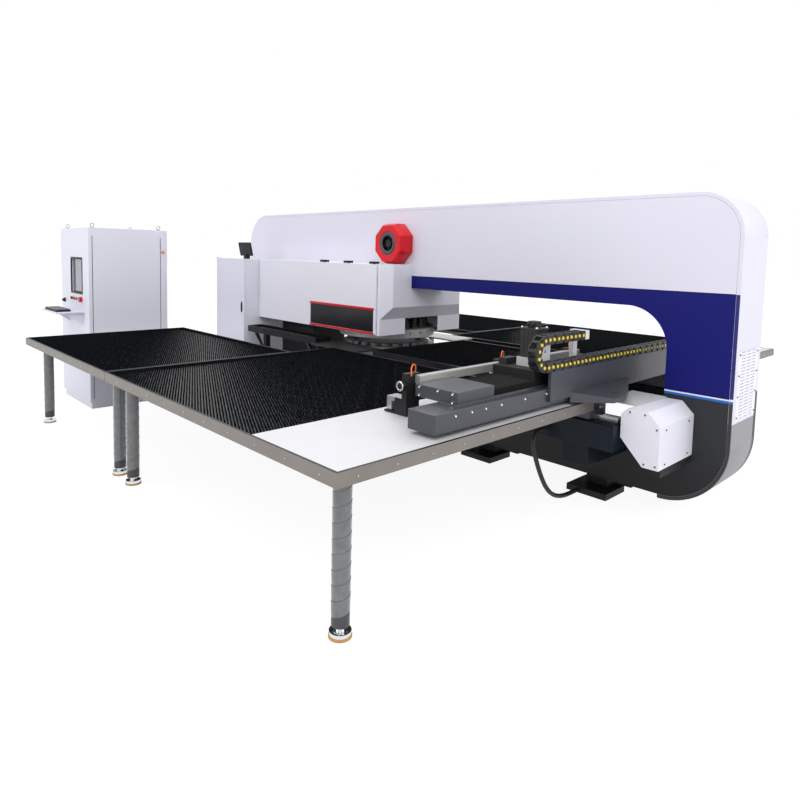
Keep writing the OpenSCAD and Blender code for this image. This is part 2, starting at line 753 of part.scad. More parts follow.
slot_y = 140;
slide_l = 460;
module saddle() color("dimgray") placed() {
  difference() {
    apron();
    for (k = [0:2])
      translate([apron_xs[1] + 75 + k * 42, apron_y - slot_y, apron_z0 + 20])
        cube([apron_slot[0], apron_slot[1], apron_high]);
  }
  both_sides() {
    difference() {
      box([rail_x - slide_w / 2, -beam_near, slide_z0],
        [rail_x + slide_w / 2, -beam_near + slide_l, slide_z1]);
      box([rail_x - 22 - clear, -beam_near - 1, slide_z0 - 1],
        [rail_x + 22 + clear, -beam_near + slide_l + 1, bed_z1 + rail_h + clear]);
    }
    box([rail_x - column_w / 2, -beam_near + 10, slide_z1],
      [rail_x + column_w / 2, -beam_near + 380, beam_z]);
  }
  difference() {
    union() {
      box([-rail_x - 40, -beam_near + 120, slide_z1 - 1], [screw_x + 60, -beam_near + 220, slide_z1 + 20]);
      box([screw_x - 60, -beam_near + 120, screw_z - 60], [screw_x + 60, -beam_near + 220, slide_z1]);
    }
    translate([screw_x, -beam_near + 100, screw_z]) rotate([-90, 0, 0])
      cylinder(d = screw_d + 2 * run_fit, h = 200);
  }
}

// Carriage, clamp bar and clamps

car_x0 = -1460;
car_x1 = -950;
car_z = cover_top + 36;
motor_x = -1290;
motor_y = -2400;
bar_x0 = -2241;
bar_t = 46;
bar_h = 50;
bar_start = bar_x0 + 90;
plate_x = motor_x - 100;
plate_w = 110;
plate_h = 160;
plate_hole = 24;
module carriage() color("silver") placed() {
  box([car_x0, upper_y0 + 10, way_z + clear], [car_x1, upper_y1 + 6, car_z]);
  difference() {
    box([plate_x, upper_y0 + 10, car_z - 1], [plate_x + plate_w, upper_y0 + 20, car_z + plate_h]);
    translate([plate_x + plate_w / 2, upper_y0 + 9, car_z + plate_h - 50]) rotate([-90, 0, 0])
      cylinder(d = plate_hole, h = 12);
  }
  box([car_x0 + 60, upper_y1 - 60, car_z], [car_x0 + 180, upper_y1 + 6, car_z + 40]);
  box([car_x1 - 160, upper_y1 - 60, car_z], [car_x1 - 60, upper_y1 + 6, car_z + 40]);
  box([chain_end, upper_y0 + 10, car_z - 1], [car_x1, upper_y0 + 40, chain_up]);
  box([chain_end, chain_y0, chain_up - chain_h], [car_x1, upper_y0 + 11, chain_up]);
}
motor_w = 126;
motor_h = 180;
foot_w = 156;
foot_h = 60;
cap_w = 64;
cap_h = 42;
module square_post(w, z0, z1)
  box([motor_x - w / 2, motor_y - w / 2, z0], [motor_x + w / 2, motor_y + w / 2, z1]);

// Upright servo: gear foot, finned body, end flange and plug housing
module carriage_motor() color("black") placed() {
  square_post(foot_w, car_z, car_z + foot_h);
  difference() {
    square_post(motor_w, car_z + foot_h, car_z + foot_h + motor_h);
    for (a = [0:90:270]) translate([motor_x, motor_y, car_z + foot_h + 20]) rotate(a)
      for (k = [-1:1]) translate([motor_w / 2 - 4, k * 30 - 6, 0]) cube([5, 12, motor_h - 40]);
  }
  square_post(motor_w + 14, car_z + foot_h + motor_h, car_z + foot_h + motor_h + 14);
  square_post(cap_w, car_z + foot_h + motor_h + 14, car_z + foot_h + motor_h + 14 + cap_h);
}
module clamp_bar() color("lightgray") placed()
  box([bar_start, upper_y1 + 6, car_z - bar_h], [bar_x0 + bar_len, upper_y1 + 6 + bar_t, car_z]);

clamp_w = 110;
clamp_y = upper_y1 + 6 + bar_t;
clamp_len = 190;
cylinder_d = 56;
cylinder_l = 36;
clamp_xs = [bar_x0 + 20 + clamp_w / 2, bar_x0 + bar_len / 2, bar_x0 + bar_len - 20 - clamp_w / 2];
pivot_y = clamp_y + 70;
pivot_z = pass_z + 62;
pivot_d = 20;
module clamp_bodies() color("black") placed() for (x = clamp_xs) {
  box([x - clamp_w / 2, clamp_y, pass_z - 12], [x + clamp_w / 2, clamp_y + 40, car_z + 10]);
  box([x - clamp_w / 2, clamp_y, pass_z - 12], [x + clamp_w / 2, clamp_y + clamp_len, pass_z - 2]);
  for (s = [-1, 1])
    box([x + s * 50 - 5, clamp_y + 40, pass_z - 3], [x + s * 50 + 5, clamp_y + 100, pivot_z + 24]);
  translate([x - clamp_w / 2 - cylinder_l, clamp_y + cylinder_d / 2 + 2, car_z - 60]) rotate([0, 90, 0])
    cylinder(d = cylinder_d, h = cylinder_l);
  translate([x - 50, pivot_y, pivot_z]) rotate([0, 90, 0]) cylinder(d = pivot_d, h = 100);
}
module clamp_jaw(x) color("whitesmoke") placed() difference() {
  union() {
    translate([x - 42, pivot_y, pivot_z]) rotate([0, 90, 0]) cylinder(d = 44, h = 84);
    box([x - 42, pivot_y, pivot_z - 4], [x + 42, pivot_y + 90, pivot_z + 22]);
    box([x - 42, pivot_y + 70, pass_z + 4], [x + 42, pivot_y + 110, pivot_z + 22]);
  }
  translate([x - 50, pivot_y, pivot_z]) rotate([0, 90, 0]) cylinder(d = pivot_d + 2 * run_fit, h = 100);
}
module clamp_jaw_1() clamp_jaw(clamp_xs[0]);
module clamp_jaw_2() clamp_jaw(clamp_xs[1]);
module clamp_jaw_3() clamp_jaw(clamp_xs[2]);

// Cable chain

chain_h = 60;
chain_r = 118;
chain_z = tray_z + tray_h;
chain_up = chain_z + 2 * chain_r;
chain_y0 = -beam_near - 20;
chain_y1 = -beam_near + 50;
bend_x = -1450;
chain_rest = 900;
chain_fix = bend_x + x_travel / 2 + chain_rest;
chain_end = car_x1 - 50;
link = 50;
link_lap = 8;
side_t = 6;
rib_t = 5;
rib_w = 16;

// Open links: two side plates, which lap inside and outside each other in turn, and two cross ribs
module links(x0, x1, z) {
  n = floor((x1 - x0) / link);
  for (k = [0:n - 1]) let (
    a = x0 + k * (x1 - x0) / n, b = x0 + (k + 1) * (x1 - x0) / n, m = (a + b) / 2, inner = k % 2 * side_t) {
    for (y = [chain_y0 + inner, chain_y1 - side_t - inner])
      box([max(a - link_lap, x0), y, z], [min(b + link_lap, x1), y + side_t, z + chain_h]);
    for (h = [z, z + chain_h - rib_t])
      box([m - rib_w / 2, chain_y0 + inner, h], [m + rib_w / 2, chain_y1 - inner, h + rib_t]);
  }
}
module chain_lower() color("black") placed() links(bend_x, chain_fix, chain_z + clear);
module chain_upper() color("black") placed() links(bend_x, chain_end, chain_up - chain_h);

// A piece of a ring about the bend, between two radii and two angles
module arc_piece(r0, r1, a0, a1, y0, y1) translate([bend_x - clear, 0, chain_z + chain_r]) xz(y0, y1)
  intersection() {
    difference() {
      circle(r1);
      circle(r0);
    }
    polygon([[0, 0], for (i = [0:2]) 2 * r1 * [cos(a0 + (a1 - a0) * i / 2), sin(a0 + (a1 - a0) * i / 2)]]);
  }
bend_links = 6;
module chain_bend() color("black") placed() for (k = [0:bend_links - 1]) let (
  step = 180 / bend_links, a0 = 90 + k * step, a1 = a0 + step, inner = k % 2 * side_t,
  r1 = chain_r - clear, r0 = chain_r - chain_h) {
  for (y = [chain_y0 + inner, chain_y1 - side_t - inner])
    arc_piece(r0, r1, max(a0 - 5, 90), min(a1 + 5, 270), y, y + side_t);
  for (r = [r0, r1 - rib_t])
    arc_piece(r, r + rib_t, a0 + step / 3, a1 - step / 3, chain_y0 + inner, chain_y1 - inner);
}

hose_d = 8;
hose_r = 36;
function hose_route(x) = concat(
  [[x - hose_r, clamp_y - 20, car_z]],
  [for (t = [0:20:180])
    [x - hose_r * cos(t), clamp_y - 20 + 40 * t / 180, car_z + 16 + 1.3 * hose_r * sin(t)]],
  [[x + hose_r, clamp_y + 20, car_z + 10]]);
module air_hoses() color("darkorange") placed() for (x = clamp_xs) tube(hose_route(x), hose_d);

// Control cabinet

ctl_door_t = 24;
ctl_door_x = ctl_x + ctl_w + 12.5;
panel_side = 150;
panel_w = 570;
panel_drop = 320;
panel_h = 580;
panel_y0 = ctl_y + panel_side;
panel_y1 = panel_y0 + panel_w;
panel_z1 = ctl_h - panel_drop;
panel_z0 = panel_z1 - panel_h;
screen_z0 = panel_z0 + 150;
screen_z1 = panel_z1 - 40;
screen_in = 90;
module control_cabinet() color("whitesmoke") placed() difference() {
  union() {
    shell([ctl_x, ctl_y, 80], [ctl_x + ctl_w, ctl_y + ctl_d, ctl_h], [0, 0, 0], [1, 0, 0], 5);
    box([ctl_x + 20, ctl_y + 20, 0], [ctl_x + ctl_w - 20, ctl_y + ctl_d - 20, 80]);
    pivot_lugs(ctl_door_x, ctl_x + ctl_w - 30, ctl_y + ctl_d - pivot_in, 81, ctl_h - 1);
  }
  box([ctl_x - 1, panel_y0, panel_z0], [ctl_x + 6, panel_y1, panel_z1]);
}
module control_door() color("whitesmoke") placed()
  leaf(ctl_door_x, ctl_y, ctl_y + ctl_d - pivot_in, 81, ctl_h - 1, ctl_door_t - 1);
panel_d = 60;
module control_panel() color("lightgray") placed() difference() {
  box([ctl_x, panel_y0 + clear, panel_z0 + clear], [ctl_x + panel_d, panel_y1 - clear, panel_z1 - clear]);
  box([ctl_x - 1, panel_y0 + screen_in, screen_z0], [ctl_x + 40, panel_y1 - screen_in, screen_z1]);
  for (y = concat(button_ys, [stop_y]))
    translate([ctl_x - 1, y, button_z]) rotate([0, 90, 0]) cylinder(d = button_d + 2 * run_fit, h = 31);
}
module control_screen() color("slategray") placed()
  box([ctl_x + 20, panel_y0 + screen_in + clear, screen_z0 + clear],
    [ctl_x + 40, panel_y1 - screen_in - clear, screen_z1 - clear]);
button_d = 26;
button_z = panel_z0 + 70;
shelf_z = panel_z0 - 80;
shelf_t = 18;
button_ys = [panel_y1 - 110, panel_y1 - 200, panel_y1 - 290];
stop_y = panel_y0 + 110;
module button(y, d, h) translate([ctl_x + 20, y, button_z]) rotate([0, -90, 0]) {
  cylinder(d = button_d, h = 26);
  translate([0, 0, 26]) cylinder(d = d, h = h);
}
module button_black() color("black") placed() button(button_ys[0], 34, 12);
module button_red() color("red") placed() button(button_ys[1], 34, 12);
module button_green() color("green") placed() button(button_ys[2], 34, 12);
module stop_button() color("red") placed() button(stop_y, 60, 26);

shelf_w = 300;
gusset_w = 200;
gusset_h = 140;
module keyboard_tray() color("gainsboro") placed() {
  box([ctl_x - shelf_w, panel_y0 + 20, shelf_z], [ctl_x, panel_y1 + 60, shelf_z + shelf_t]);
  for (y = [panel_y0 + 60, panel_y1]) xz(y, y + 16) polygon([
    [ctl_x, shelf_z + 1], [ctl_x - gusset_w, shelf_z + 1], [ctl_x - gusset_w, shelf_z],
    [ctl_x, shelf_z - gusset_h]]);
}
module keyboard() color("black") placed()
  box([ctl_x - 280, panel_y0 + 80, shelf_z + shelf_t], [ctl_x - 130, panel_y1 - 40, shelf_z + shelf_t + 24]);

module lifting_eyes() color("silver") placed()
  for (x = [ctl_x + 60, ctl_x + ctl_w - 60], y = [ctl_y + 60, ctl_y + ctl_d - 60]) translate([x, y, ctl_h]) {
    cylinder(d = 44, h = 10);
    translate([0, 0, 34]) rotate([90, 0, 0]) rotate_extrude() translate([20, 0]) circle(d = 12);
  }

o_frame();
upper_cladding();
blue_cladding();
lower_cladding();
edge_cover();
vent_panel();
frame_feet();
servo_cover();
servo_fan();
ram_housing();
ram();
turret_shafts();
upper_turret();
punch_tools();
lower_turret();
die_set();
guard_shells();
guard_door();
guard_window();
side_cabinet();
side_door();
guard_screen();
table_frames();
side_brushes();
centre_brushes();
plain_plates();
table_legs();
leg_feet();
foot_rings();
y_bed();
y_rails();
ball_screw();
y_motor_cover();
motor_bracket();
conduit();
beam_box();
chain_tray();
way_cover();
saddle();
carriage();
carriage_motor();
clamp_bar();
clamp_bodies();
clamp_jaw_1();
clamp_jaw_2();
clamp_jaw_3();
chain_lower();
chain_bend();
chain_upper();
air_hoses();
control_cabinet();
control_door();
control_panel();
control_screen();
button_black();
button_red();
button_green();
stop_button();
keyboard_tray();
keyboard();
lifting_eyes();
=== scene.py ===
"""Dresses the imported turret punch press: paint, brushes, hoses, chain links, fasteners and a studio."""
import math
import random

import bmesh
import bpy
from bpy.props import FloatProperty, FloatVectorProperty, IntProperty, PointerProperty
from mathutils import Matrix, Vector


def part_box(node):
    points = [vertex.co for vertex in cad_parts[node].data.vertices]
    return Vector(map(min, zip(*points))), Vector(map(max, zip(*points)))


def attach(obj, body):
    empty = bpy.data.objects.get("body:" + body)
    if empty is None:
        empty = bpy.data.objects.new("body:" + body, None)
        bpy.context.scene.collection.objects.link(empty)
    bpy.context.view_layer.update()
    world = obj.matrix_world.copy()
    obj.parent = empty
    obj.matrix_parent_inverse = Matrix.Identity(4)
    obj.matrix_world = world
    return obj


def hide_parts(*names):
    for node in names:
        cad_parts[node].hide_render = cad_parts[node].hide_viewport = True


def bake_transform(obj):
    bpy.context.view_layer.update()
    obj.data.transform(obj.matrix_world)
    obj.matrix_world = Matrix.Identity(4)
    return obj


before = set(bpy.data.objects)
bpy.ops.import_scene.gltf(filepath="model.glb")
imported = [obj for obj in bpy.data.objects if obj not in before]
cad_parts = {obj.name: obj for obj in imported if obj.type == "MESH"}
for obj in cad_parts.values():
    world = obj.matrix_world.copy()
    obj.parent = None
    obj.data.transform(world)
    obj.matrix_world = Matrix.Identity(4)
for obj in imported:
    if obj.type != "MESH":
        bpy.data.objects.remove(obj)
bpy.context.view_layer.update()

bl_info = {
    "name": "Turret punch press dressing",
    "version": (1, 0, 0),
    "blender": (4, 5, 0),
    "location": "View3D > Sidebar > Press",
    "description": "Adds finishes, brushes, hoses, links and fasteners to the press",
    "category": "Add Mesh",
}

MM = 0.001
# Part Y of the middle of the footprint, which is the row's Y = 0
MID_Y = 236.5 * MM
# Corners of a CAD mesh closer than this are one corner, and pieces closer than this lie against each other
WELD = 0.00002
CLOSE = 0.01


def colour_prop(label, words, default):
    """A colour that a user can change."""
    return FloatVectorProperty(
        name=label, description=words, subtype="COLOR", size=3, min=0, max=1, default=default)


def length_prop(label, words, default):
    """A length in metres that a user can change."""
    return FloatProperty(
        name=label, description=words, subtype="DISTANCE", unit="LENGTH", min=0, default=default)


class PressSizes(bpy.types.PropertyGroup):
    """Sizes of the small pieces that dress the press."""
    tuft_pitch: length_prop("Tuft pitch", "Distance between neighbouring brush tufts", 0.020)
    tuft_height: length_prop("Tuft height", "Length of the bristles over their base", 0.026)
    link_length: length_prop("Link length", "Length of one cable chain link", 0.050)
    bolt_width: length_prop("Bolt width", "Width across the head of a cover screw", 0.016)
    fold_pitch: length_prop("Fold pitch", "Distance between the folds of the way covers", 0.028)
    film_turns: IntProperty(
        name="Film turns", description="Turns of film round a table leg", min=2, default=9)


class PressColours(bpy.types.PropertyGroup):
    """Colours of the finishes."""
    white: colour_prop("White", "Powder coat of the bridge and the rim cover", (0.665, 0.65, 0.735))
    guard_white: colour_prop("Guard white", "Powder coat of guards and motor cover", (0.76, 0.75, 0.825))
    blue: colour_prop("Blue", "Powder coat of the band", (0.006, 0.007, 0.130))
    stripe_blue: colour_prop("Stripe blue", "Thin stripe under the band", (0.005, 0.13, 0.50))
    grey: colour_prop("Grey", "Powder coat of the lower frame", (0.020, 0.021, 0.025))
    beam_grey: colour_prop("Beam grey", "Powder coat of the clamp beam", (0.040, 0.043, 0.053))
    red: colour_prop("Red", "Paint of the servo cover", (0.60, 0.004, 0.012))
    black: colour_prop("Black", "Plastic of the small parts", (0.010, 0.010, 0.011))
    cabinet: colour_prop("Cabinet", "Powder coat of the control cabinet", (0.70, 0.70, 0.78))
    bed: colour_prop("Bed", "Machine paint of the drive bed", (0.003, 0.007, 0.014))
    orange: colour_prop("Orange", "Air hoses", (0.80, 0.16, 0.012))
    yellow: colour_prop("Yellow", "Dots of the chain", (0.75, 0.56, 0.02))


def sizes():
    """The sizes that are set in the scene."""
    return bpy.context.scene.press_sizes


def colours():
    """The colours that are set in the scene."""
    return bpy.context.scene.press_colours


# Finishes


def mottle_group():
    """A node group: uneven colour, roughness and height for a finish, read from Object coordinates."""
    name = "uneven_finish"
    if name in bpy.data.node_groups:
        return bpy.data.node_groups[name]
    group = bpy.data.node_groups.new(name, "ShaderNodeTree")
    for label, kind, value in (
        ("Color", "NodeSocketColor", (0.5, 0.5, 0.5, 1)),
        ("Cloud scale", "NodeSocketFloat", 2.0),
        ("Cloud amount", "NodeSocketFloat", 0.1),
        ("Grain scale", "NodeSocketFloat", 400.0),
        ("Roughness", "NodeSocketFloat", 0.5),
        ("Roughness swing", "NodeSocketFloat", 0.1),
    ):
        socket = group.interface.new_socket(label, in_out="INPUT", socket_type=kind)
        socket.default_value = value
    for label, kind in (
        ("Color", "NodeSocketColor"), ("Roughness", "NodeSocketFloat"), ("Height", "NodeSocketFloat")):
        group.interface.new_socket(label, in_out="OUTPUT", socket_type=kind)
    nodes, links = group.nodes, group.links
    entry = nodes.new("NodeGroupInput")
    leave = nodes.new("NodeGroupOutput")
    place = nodes.new("ShaderNodeTexCoord")
    cloud = nodes.new("ShaderNodeTexNoise")
    cloud.inputs["Detail"].default_value = 5
    grain = nodes.new("ShaderNodeTexNoise")
    grain.inputs["Detail"].default_value = 2
    for tex, scale in ((cloud, "Cloud scale"), (grain, "Grain scale")):
        links.new(place.outputs["Object"], tex.inputs["Vector"])
        links.new(entry.outputs[scale], tex.inputs["Scale"])
    centred = nodes.new("ShaderNodeMath")
    centred.operation = "SUBTRACT"
    links.new(cloud.outputs["Fac"], centred.inputs[0])
    centred.inputs[1].default_value = 0.5
    swing = nodes.new("ShaderNodeMath")
    swing.operation = "MULTIPLY_ADD"
    links.new(centred.outputs[0], swing.inputs[0])
    links.new(entry.outputs["Cloud amount"], swing.inputs[1])
    swing.inputs[2].default_value = 1.0
    tint = nodes.new("ShaderNodeVectorMath")
    tint.operation = "SCALE"
    links.new(entry.outputs["Color"], tint.inputs[0])
    links.new(swing.outputs[0], tint.inputs["Scale"])
    rough = nodes.new("ShaderNodeMath")
    rough.operation = "MULTIPLY_ADD"
    rough.use_clamp = True
    links.new(centred.outputs[0], rough.inputs[0])
    links.new(entry.outputs["Roughness swing"], rough.inputs[1])
    links.new(entry.outputs["Roughness"], rough.inputs[2])
    links.new(tint.outputs[0], leave.inputs["Color"])
    links.new(rough.outputs[0], leave.inputs["Roughness"])
    links.new(grain.outputs["Fac"], leave.inputs["Height"])
    return group


COAT_ROUGH = 0.15
# Height of the fine pattern at full strength
GRAIN_DEPTH = 0.001


def finish(name, colour, rough, metal=0.0, coat=0.0, cloud=(2.0, 0.10), grain=(500, 0.03), swing=0.15,
           spec=0.5, bands=(), fade=None):
    """A material of uneven finish. cloud and grain are (scale, strength) of its wide and its fine pattern.
    bands are (axis, from, to, colour) fields that replace the colour there. fade is such a field too, goes
    over softly from its own colour to the rest, and needs bands."""
    mat = bpy.data.materials.new(name)
    mat.use_nodes = True
    nodes, links = mat.node_tree.nodes, mat.node_tree.links
    shader = nodes["Principled BSDF"]
    shader.inputs["Metallic"].default_value = metal
    shader.inputs["Specular IOR Level"].default_value = spec
    shader.inputs["Coat Weight"].default_value = coat
    shader.inputs["Coat Roughness"].default_value = COAT_ROUGH
    uneven = nodes.new("ShaderNodeGroup")
    uneven.node_tree = mottle_group()
    uneven.inputs["Color"].default_value = (*colour, 1)
    uneven.inputs["Cloud scale"].default_value = cloud[0]
    uneven.inputs["Cloud amount"].default_value = cloud[1]
    uneven.inputs["Grain scale"].default_value = grain[0]
    uneven.inputs["Roughness"].default_value = rough
    uneven.inputs["Roughness swing"].default_value = swing
    if bands:
        socket = band_colour(mat, colour, bands)
        if fade:
            socket = fade_colour(mat, socket, *fade)
        links.new(socket, uneven.inputs["Color"])
    links.new(uneven.outputs["Color"], shader.inputs["Base Color"])
    links.new(uneven.outputs["Roughness"], shader.inputs["Roughness"])
    bump = nodes.new("ShaderNodeBump")
    bump.inputs["Strength"].default_value = grain[1]
    bump.inputs["Distance"].default_value = GRAIN_DEPTH
    links.new(uneven.outputs["Height"], bump.inputs["Height"])
    links.new(bump.outputs["Normal"], shader.inputs["Normal"])
    return mat


def band_colour(mat, colour, bands):
    """A colour socket that is colour, with each band's own colour between two places along an axis.
    Where a band has a list in place of its colour, the list is a colour and the bands within that band."""
    nodes, links = mat.node_tree.nodes, mat.node_tree.links
    place = nodes.new("ShaderNodeTexCoord")
    split = nodes.new("ShaderNodeSeparateXYZ")
    links.new(place.outputs["Object"], split.inputs[0])
    current = None
    for axis, low, high, field in bands:
        middle, half = (low + high) / 2, (high - low) / 2
        inside = nodes.new("ShaderNodeMath")
        inside.operation = "COMPARE"
        links.new(split.outputs[axis], inside.inputs[0])
        inside.inputs[1].default_value = middle
        inside.inputs[2].default_value = half
        mix = nodes.new("ShaderNodeMix")
        mix.data_type = "RGBA"
        links.new(inside.outputs[0], mix.inputs["Factor"])
        if current is None:
            mix.inputs["A"].default_value = (*colour, 1)
        else:
            links.new(current, mix.inputs["A"])
        if isinstance(field, list):
            links.new(band_colour(mat, field[0], field[1:]), mix.inputs["B"])
        else:
            mix.inputs["B"].default_value = (*field, 1)
        current = mix.outputs["Result"]
    return current


def fade_colour(mat, socket, axis, low, high, field):
    """A colour socket that goes from field at low to the given socket's colour at high, along an axis."""
    nodes, links = mat.node_tree.nodes, mat.node_tree.links
    place = nodes.new("ShaderNodeTexCoord")
    split = nodes.new("ShaderNodeSeparateXYZ")
    links.new(place.outputs["Object"], split.inputs[0])
    ease = nodes.new("ShaderNodeMapRange")
    ease.interpolation_type = "SMOOTHSTEP"
    links.new(split.outputs[axis], ease.inputs["Value"])
    ease.inputs["From Min"].default_value = low
    ease.inputs["From Max"].default_value = high
    mix = nodes.new("ShaderNodeMix")
    mix.data_type = "RGBA"
    links.new(ease.outputs["Result"], mix.inputs["Factor"])
    mix.inputs["A"].default_value = (*field, 1)
    links.new(socket, mix.inputs["B"])
    return mix.outputs["Result"]


FINISHES = {}
# Axes of a band
X, Y, Z = 0, 1, 2
# Heights where the frame's paint changes: grey, a thin blue stripe, a white line, the blue band and white
STRIPE_LOW = 0.898
LINE_LOW = 0.915
BAND_LOW = 0.930
BAND_HIGH = 1.642
# Stretch of the lower frame over which painted shade, nearly black at the bottom, goes over to its grey
GREY_SHADE_FADE = (0.12, 0.62)
# Half the frame's thickness, just inside its faces and well past them, and where the rim's rear strip of
# painted shade starts
FACE_X = 0.2485
PAST_FACE = 0.3
REAR_SHADE_STRIP = 0.19
# Height up to which the rim cover is grey
RIM_GREY_TOP = 0.755
# Stretch of the frame along Y that the guard shades, and half the width of the dark trays at the frame
BEHIND_GUARD = (-0.25, 1.97)
TRAY_X = 0.845
# Heights of the tables' dark inner rims, and the depth of the bright outer skin of their edges
INNER_RIM = (0.864, 0.96)
SKIN = 0.0005
PAST_EDGE = 0.1
# Stretch along Y of the sheets beside the turret
TURRET_SHEET = (-0.33, 0.41)
# Heights of the turret's bright rim, the motor's bright foot and the plates that stand on the carriage
TURRET_RIM = (0.94, 1.062)
MOTOR_FOOT = (1.10, 1.206)
SLIDE_PLATES = (1.190, 1.60)


def mix_finishes():
    """Makes every finish once, by name."""
    c = colours()
    made = FINISHES
    # Painted shade, laid on the frame behind the guard, on the lower rear strip of the rim, and on the
    # sheets beside the turret on the negative X side
    shade = (0.012, 0.012, 0.014)
    line = (Z, LINE_LOW, BAND_LOW, c.guard_white)
    stripe = (Z, STRIPE_LOW, LINE_LOW, c.stripe_blue)
    front = [c.white, (Z, BAND_LOW, BAND_HIGH, c.blue), line, stripe, (Z, 0.0, STRIPE_LOW, c.grey)]
    profile = (0.24, 0.22, 0.20)
    dark_profile = (0.02, 0.02, 0.022)
    low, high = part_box("table_frames")
    made["white"] = finish("white_coat", c.white, 0.42, coat=0.1, cloud=(1.2, 0.05))
    made["rim"] = finish(
        "rim_coat", c.white, 0.45, cloud=(1.2, 0.05),
        bands=(
            (Z, 0.0, RIM_GREY_TOP, (0.24, 0.24, 0.25)),
            # The rim's rear strip: white above the band, painted shade below it
            (X, REAR_SHADE_STRIP, FACE_X, [c.white, (Z, 0.0, BAND_LOW, shade)]),
            (X, -PAST_FACE, -FACE_X, front), (X, FACE_X, PAST_FACE, front)))
    made["guard"] = finish("guard_coat", c.guard_white, 0.4, coat=0.1, cloud=(1.6, 0.05))
    made["blue"] = finish(
        "blue_coat", c.blue, 0.5, cloud=(1.2, 0.15), spec=0.15, bands=((Y, *BEHIND_GUARD, shade),))
    # The lower frame's grey darkens towards the bottom as painted shade, and behind the guard it carries
    # painted shadow
    made["grey"] = finish(
        "grey_coat", c.grey, 0.45, cloud=(1.5, 0.2), spec=0.3,
        bands=(stripe, line, (Y, *BEHIND_GUARD, shade)), fade=(Z, *GREY_SHADE_FADE, (0.006, 0.006, 0.007)))
    made["steel_grey"] = finish("frame_coat", (0.016, 0.016, 0.018), 0.55, cloud=(3, 0.3), spec=0.25)
    made["cabinet"] = finish("cabinet_coat", c.cabinet, 0.5, cloud=(1.5, 0.04), grain=(900, 0.08))
    made["red"] = finish("red_gloss", c.red, 0.35, coat=0.12, cloud=(3, 0.1), spec=0.25)
    made["black"] = finish("black_plastic", c.black, 0.5, cloud=(8, 0.4), grain=(900, 0.1), spec=0.3)
    made["rubber"] = finish("black_rubber", (0.014, 0.014, 0.015), 0.6, cloud=(12, 0.4), grain=(700, 0.15))
    made["steel"] = finish(
        "ground_steel", (0.52, 0.53, 0.54), 0.28, metal=1.0, cloud=(20, 0.2), grain=(1500, 0.05))
    made["dark_steel"] = finish("dark_steel", (0.10, 0.10, 0.105), 0.4, metal=0.9, cloud=(12, 0.4))
    made["turret"] = finish(
        "turret_steel", (0.15, 0.15, 0.16), 0.45, metal=0.8, cloud=(12, 0.4),
        bands=((Z, *TURRET_RIM, (0.42, 0.42, 0.43)),))
    made["motor"] = finish(
        "motor_coat", (0.012, 0.012, 0.013), 0.45, cloud=(8, 0.4),
        bands=((Z, *MOTOR_FOOT, (0.46, 0.46, 0.46)),))
    made["slide"] = finish(
        "slide_coat", (0.014, 0.014, 0.016), 0.5, cloud=(6, 0.3), spec=0.3,
        bands=((Z, *SLIDE_PLATES, (0.62, 0.62, 0.64)),))
    made["chrome"] = finish("bright_chrome", (0.72, 0.73, 0.74), 0.12, metal=1.0, cloud=(30, 0.1), swing=0.1)
    made["canister"] = finish("tool_canister", (0.05, 0.045, 0.035), 0.4, metal=0.9, cloud=(20, 0.3))
    made["edge"] = finish(
        "edge_profile", profile, 0.42, metal=0.85, cloud=(6, 0.35), grain=(900, 0.12),
        bands=(
            (X, -TRAY_X, TRAY_X, dark_profile), (Z, *INNER_RIM, dark_profile),
            (X, low.x - PAST_EDGE, low.x + SKIN, profile), (X, high.x - SKIN, high.x + PAST_EDGE, profile),
            (Y, low.y - PAST_EDGE, low.y + SKIN, profile), (Y, high.y - SKIN, high.y + PAST_EDGE, profile)))
    made["sheet"] = finish(
        "galvanised_sheet", (0.60, 0.60, 0.62), 0.5, metal=0.15, cloud=(14, 0.10), grain=(300, 0.03),
        bands=((Y, *TURRET_SHEET, [(0.42, 0.41, 0.40), (X, -1.0, 0.0, shade)]),))
    made["bristle"] = finish(
        "nylon_bristle", (0.004, 0.006, 0.008), 0.45, cloud=(3, 0.8), grain=(900, 0.2), spec=0.15)
    made["base_strip"] = finish("base_strip", (0.05, 0.05, 0.053), 0.45, metal=0.3, cloud=(9, 0.3))
    made["chain"] = finish("chain_nylon", (0.022, 0.022, 0.024), 0.42, cloud=(30, 0.4), grain=(900, 0.1))
    made["key"] = finish("key_caps", (0.16, 0.16, 0.17), 0.5, cloud=(40, 0.3))
    made["leg"] = finish("leg_paint", (0.045, 0.047, 0.050), 0.4, cloud=(14, 0.5), grain=(60, 0.3))
    made["film"] = finish("leg_film", (0.13, 0.135, 0.14), 0.22, coat=0.6, cloud=(25, 0.8), grain=(70, 0.6))
    made["ring"] = finish("tan_rubber", (0.50, 0.27, 0.09), 0.55, cloud=(20, 0.3))
    made["bed"] = finish("bed_paint", c.bed, 0.4, cloud=(4, 0.4), spec=0.2)
    made["beam"] = finish("beam_coat", c.beam_grey, 0.38, coat=0.15, cloud=(3, 0.15))
    made["cloth"] = finish(
        "bellows_cloth", (0.007, 0.007, 0.008), 0.75, cloud=(15, 0.5), grain=(1200, 0.3), spec=0.2)
    made["orange"] = finish("orange_hose", c.orange, 0.3, cloud=(30, 0.1))
    made["yellow"] = finish("yellow_dot", c.yellow, 0.4, cloud=(40, 0.15))
    made["jaw"] = finish("plated_jaw", (0.55, 0.55, 0.56), 0.32, metal=0.7, cloud=(30, 0.3))
    made["bar"] = finish("clamp_bar_metal", (0.50, 0.49, 0.46), 0.4, metal=0.6, cloud=(6, 0.2))
    made["tint"] = finish("tinted_sheet", (0.012, 0.012, 0.014), 0.2, coat=0.15, cloud=(4, 0.5), spec=0.3)
